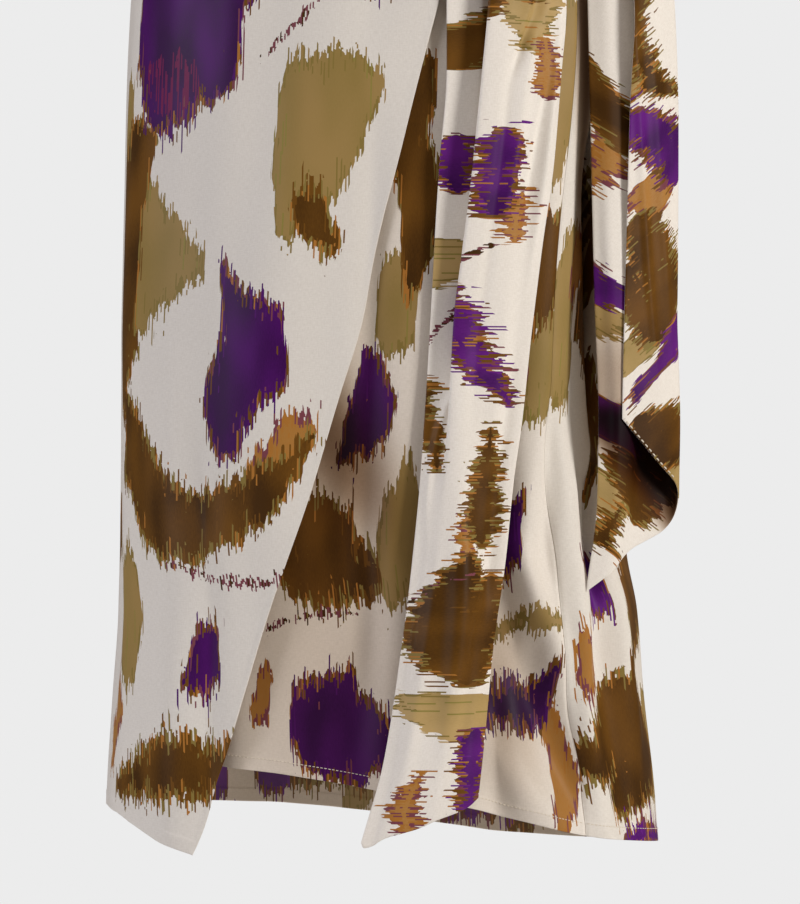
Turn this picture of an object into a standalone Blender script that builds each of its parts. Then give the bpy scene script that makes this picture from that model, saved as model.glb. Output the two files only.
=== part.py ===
"""A draped wrap skirt in its worn form: hollow, and open at the waist and at the hem.

Sizes are in millimetres, and each mesh is turned to metres when it is made. +Z is up, -Y is the
front, +X is the wearer's left, and the origin is the middle of the waist. "down" is how far a
point lies below the origin. Angles run round the body from the wearer's left side (0 degrees)
through the back (90) and the right side (180) to the front (270), and go on past 360 where the
cloth goes round a second time.
"""

import bisect
import math

import bpy
import numpy as np

METRES = 0.001

# Cloth
WALL = 1.5              # the panels' cloth, with its turned and pressed edges
BAND_WALL = 2.2         # the waistband is two layers of cloth and a stiffener
TAIL_WALL = 1.6         # each tail is a double layer, sewn and turned
SEAM_GAP = 0.3          # between pieces that are sewn together
LAYER_TOP = 3.4         # how far the overlap lies outside the underlap, at the waist
LAYER_HEM = 9.0         # and at the hem, where it hangs free

# Waistband
BAND_TOP = -20.0
BAND_BOTTOM = 20.0
BAND_END_X = 104.0      # the overlap's end of the band, over the tops of the tails

# Right side seam, and the underlap's hidden edge at the waist and at the hem, in degrees
RIGHT_SEAM = 173.0
HIDDEN_EDGE_TOP, HIDDEN_EDGE_HEM = 229.0, 207.0
LAYER_START, LAYER_FULL = 188.0, 222.0   # the overlap lifts off the tube between these

# How square the body's outline is in plan: 2 is an ellipse, more is boxier
FRONT_SQUARENESS = 2.45
BACK_SQUARENESS = 2.2


class Table:
    """Rows of named columns, read smoothly between its rows by the first column."""

    def __init__(self, names, rows):
        self.names = names
        self.rows = rows
        self.columns = {name: [float(row[i]) for row in rows] for i, name in enumerate(names)}
        self.x = self.columns[names[0]]

    def at(self, name, where):
        """The named column's value where the first column has the value where."""
        x, y = self.x, self.columns[name]
        where = min(max(where, x[0]), x[-1])
        i = min(max(bisect.bisect_left(x, where) - 1, 0), len(x) - 2)
        step = x[i + 1] - x[i]
        t = (where - x[i]) / step
        start, end = self._slope(y, i) * step, self._slope(y, i + 1) * step
        return (
            y[i] * (1 + 2 * t) * (1 - t) ** 2
            + start * t * (1 - t) ** 2
            + y[i + 1] * t**2 * (3 - 2 * t)
            + end * t**2 * (t - 1)
        )

    def _slope(self, y, i):
        """The curve's slope at row i, chosen so that it never overshoots its neighbours."""
        last = len(y) - 1
        before = (y[i] - y[i - 1]) / (self.x[i] - self.x[i - 1]) if i > 0 else None
        after = (y[i + 1] - y[i]) / (self.x[i + 1] - self.x[i]) if i < last else None
        if before is None or after is None:
            return after if before is None else before
        if before * after <= 0:
            return 0.0
        return 2 * before * after / (before + after)


# The tube that the panels make round the body: its reach from the waist's middle
FORM = Table(
    ("down", "right_side", "left_side", "front", "back"),
    (
        (-20, 128, 128, 92, 92),
        (20, 134, 134, 97, 100),
        (70, 160, 158, 112, 118),
        (120, 180, 176, 122, 130),
        (190, 193, 187, 128, 137),
        (350, 199, 184, 130, 137),
        (462, 202, 178, 129, 130),
        (600, 202, 174, 127, 122),
        (657, 203, 185, 127, 121),
        (717, 207, 190, 127, 121),
        (781, 211, 197, 128, 125),
        (830, 213, 201, 129, 127),
    ),
)

# The overlap's free edge and the left side seam: how far left of the middle each lies
OVERLAP_EDGE = Table(
    ("down", "x"),
    (
        (20, 94),
        (100, 68),
        (212, 36),
        (285, 17),
        (357, 0),
        (429, -17),
        (480, -31),
        (559, -54),
        (617, -73),
        (719, -104),
        (770, -118),
        (812, -133),
        (833, -142),
    ),
)
LEFT_SEAM = Table(
    ("down", "x"),
    (
        (20, 104),
        (100, 126),
        (219, 137),
        (417, 121),
        (501, 118),
        (552, 116),
        (627, 121),
        (679, 124),
        (728, 130),
        (783, 140),
        (830, 142),
    ),
)

# Hems, by the angle round the body
TUBE_HEM = Table(
    ("angle", "down"),
    (
        (205, 760),
        (225, 768),
        (241, 773),
        (262, 781),
        (284, 790),
        (296, 796),
        (308, 804),
        (322, 816),
        (332, 822),
        (360, 830),
        (390, 835),
        (408, 833),
        (434, 826),
        (456, 817),
        (500, 808),
        (533, 803),
    ),
)
OVERLAP_HEM = Table(
    ("angle", "down"),
    ((173, 803), (185, 801), (197, 804), (203, 811), (209, 819), (215, 827), (224, 839)),
)

# The largest folds of the tube: ridges stand out, and troughs (negative) go in
FOLDS = Table(
    ("angle", "half_width", "height", "start", "end"),
    (
        (28, 7, 5, 300, 900),
        (52, 6, -5, 380, 900),
        (78, 8, 6, 340, 900),
        (101, 6, -5, 420, 900),
        (124, 8, 6, 360, 900),
        (150, 7, -4, 400, 900),
        (196, 5, 2, 200, 900),
        (214, 4, 3, 420, 900),
        (222, 4, -4, 480, 900),
        (243, 9, 3, 300, 900),
        (268, 5, -4, 260, 760),
        (296, 5, 4, 420, 900),
        (306, 4, -5, 480, 900),
        (318, 4, 4, 220, 640),
        (330, 4, -9, 240, 640),
        (343, 5, 3, 420, 720),
    ),
)
FOLD_FADE = 110.0       # a fold grows and dies away over this length

# The front tail, section by section: its left-hand edge, the tuck behind the fold, the
# fold's front and its other edge, each as a place across and a distance out from the tube
FRONT_TAIL = Table(
    (
        "down", "edge_x", "tuck_x", "fold_x", "far_x",
        "edge_out", "tuck_out", "fold_out", "far_out",
    ),
    (
        (20, 52, 80, 70, 102, 7.5, 7, 11, 7),
        (90, 46, 90, 74, 116, 9, 8, 19, 6),
        (150, 43, 95, 75, 125, 9, 7, 21, 7),
        (214, 41, 94, 72, 128, 8, 7, 22, 8),
        (264, 41, 89, 67, 124, 8, 7, 22, 9),
        (329, 36, 82, 61, 119, 8, 7, 22, 10),
        (394, 32, 74, 53, 110, 8, 7, 21, 11),
        (451, 29, 62, 46, 103, 8, 8, 20, 12),
        (516, 25, 44, 43, 96, 9, 12, 19, 12),
        (559, 22, 36, 42, 90, 10, 15, 18, 12),
        (617, 16, 28, 40, 84, 12, 17, 20, 12),
        (681, 8, 20, 36, 75, 14, 20, 23, 13),
        (760, -4, 10, 28, 67, 14, 20, 23, 14),
        (822, -21, -5, 18, 60, 14, 19, 22, 15),
    ),
)
FRONT_TAIL_END = Table(
    ("across", "down"),
    ((0, 820), (0.05, 824), (0.2, 822), (0.4, 814), (0.6, 805.5), (0.92, 793.5), (1, 788)),
)

# The side tail is folded over lengthwise: its front layer's edge, the fold at the hip and
# its back layer's edge, each as a place in plan
SIDE_TAIL = Table(
    ("down", "front_x", "front_y", "fold_x", "fold_y", "back_x", "back_y", "radius"),
    (
        (20, 118, -76, 137, -48, 109, -72, 2.5),
        (60, 137, -95, 157, -63, 123, -86, 4),
        (100, 153, -106, 178, -70, 134, -97, 5.5),
        (150, 167, -108, 199, -74, 141, -103, 7),
        (211, 176, -107, 211, -75, 144, -103, 7),
        (300, 174, -106, 213, -76, 146, -104, 7),
        (428, 171, -104, 213, -75, 149, -102, 7),
        (516, 169, -104, 215, -74, 152, -101, 7),
        (574, 169, -104, 215, -73, 151, -100, 7),
        (640, 168, -103, 210, -72, 143, -101, 7),
    ),
)
SIDE_TAIL_END = Table(
    ("across", "down"),
    ((0, 515), (0.17, 548), (0.36, 571), (0.43, 581), (0.5, 590), (0.72, 611), (1, 641)),
)

# Small pleats where the tails come out of the waistband's seam
PLEATS = 3
PLEAT_DEPTH = 1.6
PLEATS_END = 120.0
TAIL_TOP_GAP = 0.4


def ramp(value, start, end):
    """0 before start, 1 after end, and smooth between them."""
    t = min(max((value - start) / (end - start), 0.0), 1.0)
    return t * t * (3 - 2 * t)


def fold_height(angle, down):
    """How far the tube's folds stand out at this place."""
    total = 0.0
    for centre, half_width, height, start, end in FOLDS.rows:
        apart = abs((angle - centre + 180) % 360 - 180) / half_width
        if apart < 3:
            grown = ramp(down, start, start + FOLD_FADE) * (1 - ramp(down, end - FOLD_FADE, end))
            total += height * math.exp(-apart * apart) * grown
    return total


def tube_point(angle, down):
    """The plain tube in plan, before anything is laid on it."""
    right, left = FORM.at("right_side", down), FORM.at("left_side", down)
    middle, half = (left - right) / 2, (left + right) / 2
    cos, sin = math.cos(math.radians(angle)), math.sin(math.radians(angle))
    depth = FORM.at("front" if sin < 0 else "back", down)
    power = FRONT_SQUARENESS if sin < 0 else BACK_SQUARENESS
    reach = ((abs(cos) / half) ** power + (abs(sin) / depth) ** power) ** (-1 / power)
    reach += fold_height(angle, down)
    return middle + reach * cos, reach * sin


def place(angle, down, out=0.0):
    """The tube's point moved straight out by out, as x, y and z."""
    x, y = tube_point(angle, down)
    if out:
        ahead, behind = tube_point(angle + 0.5, down), tube_point(angle - 0.5, down)
        along_x, along_y = ahead[0] - behind[0], ahead[1] - behind[1]
        length = math.hypot(along_x, along_y)
        x, y = x + out * along_y / length, y - out * along_x / length
    return x, y, -down


def angle_at(x, down):
    """The angle on the tube's front where it lies at x."""
    low, high = 181.0, 359.0
    for _ in range(22):
        middle = (low + high) / 2
        if tube_point(middle, down)[0] < x:
            low = middle
        else:
            high = middle
    return (low + high) / 2


def layer_out(angle, down):
    """How far out the overlap lies: nothing at the right side seam, full over the front."""
    full = LAYER_TOP + (LAYER_HEM - LAYER_TOP) * ramp(down, 0, 800)
    return full * ramp(angle, LAYER_START, LAYER_FULL)


def curve_point(stations, share):
    """The point a share of the way, station by station, along a smooth curve through them."""
    last = len(stations) - 1
    i = min(int(share * last), last - 1)
    t = share * last - i
    start, end = stations[i], stations[i + 1]
    before = stations[i - 1] if i > 0 else [2 * a - b for a, b in zip(start, end)]
    after = stations[i + 2] if i + 2 <= last else [2 * b - a for a, b in zip(start, end)]
    return [
        0.5 * (
            2 * b
            + (c - a) * t
            + (2 * a - 5 * b + 4 * c - d) * t**2
            + (3 * b - a - 3 * c + d) * t**3
        )
        for a, b, c, d in zip(before, start, end, after)
    ]


def clear_scene():
    for obj in list(bpy.data.objects):
        bpy.data.objects.remove(obj)


def material(name, colour, roughness):
    made = bpy.data.materials.new(name)
    made.use_nodes = True
    shader = made.node_tree.nodes["Principled BSDF"]
    shader.inputs["Base Color"].default_value = (*colour, 1.0)
    shader.inputs["Roughness"].default_value = roughness
    shader.inputs["Metallic"].default_value = 0.0
    return made


def object_from(name, points, faces, finish, parent):
    mesh = bpy.data.meshes.new(name)
    mesh.from_pydata([[c * METRES for c in p] for p in points], [], faces)
    mesh.materials.append(finish)
    mesh.shade_smooth()
    obj = bpy.data.objects.new(name, mesh)
    bpy.context.scene.collection.objects.link(obj)
    obj.parent = parent
    return obj


def shell(name, outer, inner, finish, parent):
    """A closed wall between two grids of points of the same shape."""
    width, count = len(outer[0]), len(outer) * len(outer[0])
    points = [p for row in outer + inner for p in row]
    faces = []
    for r in range(len(outer) - 1):
        for c in range(width - 1):
            a, b = r * width + c, r * width + c + 1
            faces.append((a, a + width, b + width, b))
            faces.append((count + a, count + b, count + b + width, count + a + width))
    rim = [
        *range(width),
        *range(2 * width - 1, count, width),
        *range(count - 2, count - width - 1, -1),
        *range(count - 2 * width, 0, -width),
    ]
    for a, b in zip(rim, rim[1:] + rim[:1]):
        faces.append((a, b, count + b, count + a))
    return object_from(name, points, faces, finish, parent)


def panel(name, across, rows, first, last, hem, out, finish, parent):
    """A panel of the tube: first and last give its edges' angles, and hem its lower edge."""
    top = BAND_BOTTOM + SEAM_GAP
    outer, inner = [], []
    for r in range(rows + 1):
        outer.append([])
        inner.append([])
        for c in range(across + 1):
            down = top
            for _ in range(6):
                angle = first(down) + c / across * (last(down) - first(down))
                down = top + (hem(angle) - top) * r / rows
            outer[-1].append(place(angle, down, out(angle, down)))
            inner[-1].append(place(angle, down, out(angle, down) - WALL))
    return shell(name, outer, inner, finish, parent)


def half_gap(down):
    """Half a seam's gap as an angle, at the seams' usual distance from the middle."""
    return math.degrees(SEAM_GAP * 0.6 / FORM.at("left_side", down))


def left_seam(down):
    return angle_at(LEFT_SEAM.at("x", down), down)


def waistband(finish, parent):
    """One strip: a turn and a third round the waist, its outer end over its inner one."""
    end = angle_at(BAND_END_X, 0) + 360
    steps = 88
    outer, inner = [], []
    for r in range(3):
        down = BAND_TOP + (BAND_BOTTOM - BAND_TOP) * r / 2
        outer.append([])
        inner.append([])
        for c in range(steps + 1):
            angle = HIDDEN_EDGE_TOP + (end - HIDDEN_EDGE_TOP) * c / steps
            lift = LAYER_TOP * ramp(angle, LAYER_START + 360, LAYER_FULL + 360)
            outer[-1].append(place(angle, down, lift))
            inner[-1].append(place(angle, down, lift - BAND_WALL))
    return shell("waistband", outer, inner, finish, parent)


def overlap_panel(finish, parent):
    """The front that shows: from the right side seam to its free, slanting edge."""
    return panel(
        "front_overlap", 22, 24,
        lambda down: RIGHT_SEAM + half_gap(down),
        lambda down: angle_at(OVERLAP_EDGE.at("x", down), down),
        lambda angle: OVERLAP_HEM.at("down", angle),
        layer_out, finish, parent,
    )


def underlap_panel(finish, parent):
    """The front beneath: from its hidden edge to the left side seam."""
    return panel(
        "front_underlap", 24, 24,
        lambda down: HIDDEN_EDGE_TOP + (HIDDEN_EDGE_HEM - HIDDEN_EDGE_TOP) * ramp(down, 20, 780),
        lambda down: left_seam(down) - half_gap(down),
        lambda angle: TUBE_HEM.at("down", angle),
        lambda angle, down: 0.0, finish, parent,
    )


def back_panel(finish, parent):
    """The back, from one side seam to the other."""
    return panel(
        "back", 34, 24,
        lambda down: left_seam(down) + half_gap(down),
        lambda down: RIGHT_SEAM + 360 - half_gap(down),
        lambda angle: TUBE_HEM.at("down", angle),
        lambda angle, down: 0.0, finish, parent,
    )


def pleat(share, down):
    """The small pleats' height across a tail, largest at the waistband."""
    return PLEAT_DEPTH * (1 - ramp(down, 0, PLEATS_END)) * math.sin(2 * math.pi * PLEATS * share)


def front_tail_point(share, down):
    """The front tail in plan at this height: a wide face with its edge folded behind it."""
    row = {name: FRONT_TAIL.at(name, down) for name in FRONT_TAIL.names[1:]}
    edge, tuck = (row["edge_x"], row["edge_out"]), (row["tuck_x"], row["tuck_out"])
    fold, far = (row["fold_x"], row["fold_out"]), (row["far_x"], row["far_out"])
    span = far[0] - fold[0]
    stations = [
        edge,
        ((edge[0] + tuck[0]) / 2, (edge[1] + tuck[1]) / 2 - 0.5),
        tuck,
        fold,
        (fold[0] + 0.34 * span, fold[1] + 1.5),
        (fold[0] + 0.70 * span, (fold[1] + far[1]) / 2 + 1.5),
        far,
    ]
    x, out = curve_point(stations, share)
    surface = tube_point(angle_at(x, down), down)[1]
    return x, surface - out - pleat(share, down), -down


def side_tail_point(share, down):
    """The side tail in plan at this height: a hairpin round its fold."""
    row = {name: SIDE_TAIL.at(name, down) for name in SIDE_TAIL.names[1:]}
    front, fold = (row["front_x"], row["front_y"]), (row["fold_x"], row["fold_y"])
    back = (row["back_x"], row["back_y"])
    reach = math.hypot(fold[0] - front[0], fold[1] - front[1])
    ux, uy = (fold[0] - front[0]) / reach, (fold[1] - front[1]) / reach
    radius = row["radius"]

    def moved(point, along, inward):
        """The point moved toward the fold by along, and toward the body by inward."""
        return point[0] + ux * along - uy * inward, point[1] + uy * along + ux * inward

    turned = moved(fold, -radius, 2 * radius)
    def between(share_back, inward):
        """A point that share of the way from the turn to the back layer's edge."""
        x = turned[0] + (back[0] - turned[0]) * share_back
        y = turned[1] + (back[1] - turned[1]) * share_back
        return moved((x, y), 0, inward)

    stations = [
        front,
        moved(front, reach / 2, -radius / 4),
        moved(fold, -radius, 0),
        moved(fold, 0, radius),
        turned,
        between(0.42, 0),
        between(0.74, -1.1 * radius),
        back,
    ]
    x, y = moved(curve_point(stations, share), 0, -pleat(share, down))
    return x, y, -down


def tail(name, point_at, end, across, rows, finish, parent):
    """A tail: its middle sheet runs down from the waistband to its slanting cut."""
    top = BAND_BOTTOM + TAIL_TOP_GAP
    middle = np.array([
        [
            point_at(c / across, top + (end.at("down", c / across) - top) * r / rows)
            for c in range(across + 1)
        ]
        for r in range(rows + 1)
    ])
    along = np.gradient(middle, axis=1)
    sideways = np.stack([along[..., 1], -along[..., 0], np.zeros(along.shape[:2])], axis=-1)
    sideways /= np.linalg.norm(sideways, axis=-1, keepdims=True)
    outer = (middle + sideways * TAIL_WALL / 2).tolist()
    inner = (middle - sideways * TAIL_WALL / 2).tolist()
    return shell(name, outer, inner, finish, parent)


def build():
    clear_scene()
    waist = bpy.data.objects.new("waist", None)
    bpy.context.scene.collection.objects.link(waist)
    waistband(material("waistband_silk", (0.68, 0.62, 0.56), 0.5), waist)
    overlap_panel(material("overlap_silk", (0.66, 0.60, 0.53), 0.45), waist)
    underlap_panel(material("underlap_silk", (0.60, 0.52, 0.44), 0.45), waist)
    back_panel(material("back_silk", (0.64, 0.58, 0.51), 0.45), waist)
    tail(
        "front_tail", front_tail_point, FRONT_TAIL_END, 24, 26,
        material("front_tail_silk", (0.62, 0.55, 0.46), 0.42), waist,
    )
    tail(
        "side_tail", side_tail_point, SIDE_TAIL_END, 28, 22,
        material("side_tail_silk", (0.50, 0.40, 0.32), 0.42), waist,
    )


build()
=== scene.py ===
"""A draped wrap skirt in printed silk satin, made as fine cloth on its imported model.

Sizes are in millimetres, and each mesh is turned to metres when it is made. +Z is up, -Y is the
front, +X is the wearer's left, and the origin is the middle of the waist. "down" is how far a
point lies below the origin. Angles run round the body from the wearer's left side (0 degrees)
through the back (90) and the right side (180) to the front (270), and go on past 360 where the
cloth goes round a second time.

Places on the flat cloth are "across" and "along": the weft runs across, and the warp, which the
streaks of the print follow, runs along.
"""

import logging
import math
from dataclasses import dataclass, replace
from enum import Enum

import bpy
import numpy as np
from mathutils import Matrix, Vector


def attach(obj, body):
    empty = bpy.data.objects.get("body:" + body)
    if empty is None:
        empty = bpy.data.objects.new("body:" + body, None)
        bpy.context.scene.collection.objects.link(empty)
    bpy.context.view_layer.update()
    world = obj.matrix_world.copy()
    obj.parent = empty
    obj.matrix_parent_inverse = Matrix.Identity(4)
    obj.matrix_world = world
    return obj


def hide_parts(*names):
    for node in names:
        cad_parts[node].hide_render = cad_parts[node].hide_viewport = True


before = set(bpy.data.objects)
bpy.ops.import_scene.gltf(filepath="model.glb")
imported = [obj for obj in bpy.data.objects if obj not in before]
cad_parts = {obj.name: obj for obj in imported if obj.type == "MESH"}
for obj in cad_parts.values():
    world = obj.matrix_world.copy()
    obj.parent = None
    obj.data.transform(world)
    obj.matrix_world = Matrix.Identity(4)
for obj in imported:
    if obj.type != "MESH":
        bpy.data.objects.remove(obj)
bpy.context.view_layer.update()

log = logging.getLogger("skirt")

Array = np.ndarray
Pair = tuple[float, float]
METRES = 0.001
BODY = "root"

# Cloth
SATIN = 0.5             # one layer of the silk, a little heavy so that its edges can be seen
HEM = 1.1               # where it is turned under and sewn
BAND_WALL = 2.2
TAIL_WALL = 1.6
SEAM_GAP = 0.3
SEAM_BACK = 0.6 * SEAM_GAP      # each side of a side seam keeps this far back from it
TAIL_TOP_GAP = 0.4

# Where the pieces meet, as angles or places down
BAND_TOP, BAND_BOTTOM = -20.0, 20.0
BAND_END_X = 104.0
FRONT_MIDDLE = 270.0
RIGHT_SEAM = 173.0
HIDDEN_EDGE_TOP, HIDDEN_EDGE_HEM = 229.0, 207.0
LAYER_START, LAYER_FULL = 188.0, 222.0

# The steps between rows or columns near an edge, from the edge inward
EDGE_STEPS = (0.25, 0.3, 0.45, 0.8, 1.2)
HEM_STEPS = (0.25, 0.3, 0.45, 1.0, 2.0, 2.5, 2.0, 0.8, 0.7, 0.7, 1.3)


def ramp(value: Array, start: float, end: float) -> Array:
    """0 before start, 1 after end, and smooth between them."""
    t = np.clip((value - start) / (end - start), 0.0, 1.0)
    return t * t * (3 - 2 * t)


def linear(colour: str) -> tuple[float, float, float, float]:
    """An sRGB hex colour such as "#EBE6DD" as the linear colour that a shader takes."""
    shares = [int(colour[i : i + 2], 16) / 255 for i in (1, 3, 5)]
    return (*(s / 12.92 if s <= 0.04045 else ((s + 0.055) / 1.055) ** 2.4 for s in shares), 1.0)


def spaced(count: int, length: float, first: tuple = (), last: tuple = ()) -> Array:
    """Shares from 0 to 1 for the rows or columns of a piece.

    Args:
        count: How many even steps its middle has.
        length: About how long the piece is that way, in millimetres.
        first: The finer steps at its start, from the edge inward.
        last: The finer steps at its end, from the edge inward.

    Returns:
        The shares, in order.
    """
    head = np.concatenate([[0.0], np.cumsum(first)])
    tail = length - np.concatenate([[0.0], np.cumsum(last)])[::-1]
    middle = np.linspace(head[-1], tail[0], count + 1)[1:-1]
    return np.concatenate([head, middle, tail]) / length


class Table:
    """Rows of named columns, read smoothly between its rows by the first column."""

    def __init__(self, names: tuple[str, ...], rows: tuple[tuple[float, ...], ...]) -> None:
        """Keeps the columns and works out each one's slope at its rows.

        Args:
            names: The columns' names.
            rows: The rows, in the order of their first column.
        """
        values = np.array(rows, dtype=float)
        self.names = names
        self.rows = values
        self.x = values[:, 0]
        self.columns = {name: values[:, i] for i, name in enumerate(names)}
        self.slopes = {name: self._slopes(column) for name, column in self.columns.items()}

    def _slopes(self, y: Array) -> Array:
        """Chooses a curve's slope at each row, so that it never overshoots its neighbours.

        Args:
            y: The curve's value at each row.

        Returns:
            The slopes.
        """
        step = np.diff(y) / np.diff(self.x)
        before, after = step[:-1], step[1:]
        total = np.where(before + after == 0, 1.0, before + after)
        inner = np.where(before * after > 0, 2 * before * after / total, 0.0)
        return np.concatenate([step[:1], inner, step[-1:]])

    def at(self, name: str, where: Array) -> Array:
        """Reads a column between its rows.

        Args:
            name: The column's name.
            where: The value of the first column at each place.

        Returns:
            The named column's value at each place.
        """
        x, y, slope = self.x, self.columns[name], self.slopes[name]
        where = np.clip(where, x[0], x[-1])
        i = np.clip(np.searchsorted(x, where, side="left") - 1, 0, len(x) - 2)
        step = x[i + 1] - x[i]
        t = (where - x[i]) / step
        return (
            y[i] * (1 + 2 * t) * (1 - t) ** 2
            + slope[i] * step * t * (1 - t) ** 2
            + y[i + 1] * t**2 * (3 - 2 * t)
            + slope[i + 1] * step * t**2 * (t - 1)
        )


# The tube that the panels make round the body: its reach from the waist's middle
OUTLINE = Table(
    ("down", "right_side", "left_side", "front", "back"),
    (
        (-20, 128, 128, 92, 92),
        (20, 134, 134, 97, 100),
        (70, 160, 158, 112, 118),
        (120, 180, 176, 122, 130),
        (190, 193, 187, 128, 137),
        (350, 199, 184, 130, 137),
        (462, 202, 178, 129, 130),
        (600, 202, 174, 127, 122),
        (657, 203, 185, 127, 121),
        (717, 207, 190, 127, 121),
        (781, 211, 197, 128, 125),
        (830, 213, 201, 129, 127),
    ),
)

# The overlap's free edge and the left side seam: how far left of the middle each lies
OVERLAP_EDGE = Table(
    ("down", "x"),
    (
        (20, 94), (100, 68), (212, 36), (285, 17), (357, 0), (429, -17), (480, -31), (559, -54),
        (617, -73), (719, -104), (770, -118), (812, -133), (833, -142),
    ),
)
LEFT_SEAM = Table(
    ("down", "x"),
    (
        (20, 104), (100, 126), (219, 137), (417, 121), (501, 118), (552, 116), (627, 121),
        (679, 124), (728, 130), (783, 140), (830, 142),
    ),
)

# Hems, by the angle round the body
TUBE_HEM = Table(
    ("angle", "down"),
    (
        (205, 760), (225, 768), (241, 773), (262, 781), (284, 790), (296, 796), (308, 804),
        (322, 816), (332, 822), (360, 830), (390, 835), (408, 833), (434, 826), (456, 817),
        (500, 808), (533, 803),
    ),
)
OVERLAP_HEM = Table(
    ("angle", "down"),
    ((173, 803), (185, 801), (197, 804), (203, 811), (209, 819), (215, 827), (224, 839)),
)

# The largest folds of the tube: ridges stand out, and troughs (negative) go in
FOLDS = Table(
    ("angle", "half_width", "height", "start", "end"),
    (
        (28, 7, 5, 300, 900),
        (52, 6, -5, 380, 900),
        (78, 8, 6, 340, 900),
        (101, 6, -5, 420, 900),
        (124, 8, 6, 360, 900),
        (150, 7, -4, 400, 900),
        (196, 5, 2, 200, 900),
        (214, 4, 3, 420, 900),
        (222, 4, -4, 480, 900),
        (243, 9, 3, 300, 900),
        (268, 5, -4, 260, 760),
        (296, 5, 4, 420, 900),
        (306, 4, -5, 480, 900),
        (318, 4, 4, 220, 640),
        (330, 4, -9, 240, 640),
        (343, 5, 3, 420, 720),
    ),
)

# The front tail, section by section: its left-hand edge, the tuck behind the fold, the
# fold's front and its other edge, each as a place across and a distance out from the tube
FRONT_TAIL = Table(
    (
        "down", "edge_x", "tuck_x", "fold_x", "far_x",
        "edge_out", "tuck_out", "fold_out", "far_out",
    ),
    (
        (20, 52, 80, 70, 102, 7.5, 7, 11, 7),
        (90, 46, 90, 74, 116, 9, 8, 19, 6),
        (150, 43, 95, 75, 125, 9, 7, 21, 7),
        (214, 41, 94, 72, 128, 8, 7, 22, 8),
        (264, 41, 89, 67, 124, 8, 7, 22, 9),
        (329, 36, 82, 61, 119, 8, 7, 22, 10),
        (394, 32, 74, 53, 110, 8, 7, 21, 11),
        (451, 29, 62, 46, 103, 8, 8, 20, 12),
        (516, 25, 44, 43, 96, 9, 12, 19, 12),
        (559, 22, 36, 42, 90, 10, 15, 18, 12),
        (617, 16, 28, 40, 84, 12, 17, 20, 12),
        (681, 8, 20, 36, 75, 14, 20, 23, 13),
        (760, -4, 10, 28, 67, 14, 20, 23, 14),
        (822, -21, -5, 18, 60, 14, 19, 22, 15),
    ),
)
FRONT_TAIL_END = Table(
    ("across", "down"),
    ((0, 820), (0.05, 824), (0.2, 822), (0.4, 814), (0.6, 805.5), (0.92, 793.5), (1, 788)),
)

# The side tail is folded over lengthwise: its front layer's edge, the fold at the hip and
# its back layer's edge, each as a place in plan
SIDE_TAIL = Table(
    ("down", "front_x", "front_y", "fold_x", "fold_y", "back_x", "back_y", "radius"),
    (
        (20, 118, -76, 137, -48, 109, -72, 2.5),
        (60, 137, -95, 157, -63, 123, -86, 4),
        (100, 153, -106, 178, -70, 134, -97, 5.5),
        (150, 167, -108, 199, -74, 141, -103, 7),
        (211, 176, -107, 211, -75, 144, -103, 7),
        (300, 174, -106, 213, -76, 146, -104, 7),
        (428, 171, -104, 213, -75, 149, -102, 7),
        (516, 169, -104, 215, -74, 152, -101, 7),
        (574, 169, -104, 215, -73, 151, -100, 7),
        (640, 168, -103, 210, -72, 143, -101, 7),
    ),
)
SIDE_TAIL_END = Table(
    ("across", "down"),
    ((0, 515), (0.17, 548), (0.36, 571), (0.43, 581), (0.5, 590), (0.72, 611), (1, 641)),
)

# Small pleats where the tails come out of the waistband's seam
PLEATS = 3
PLEAT_DEPTH = 1.6
PLEATS_END = 120.0


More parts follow.
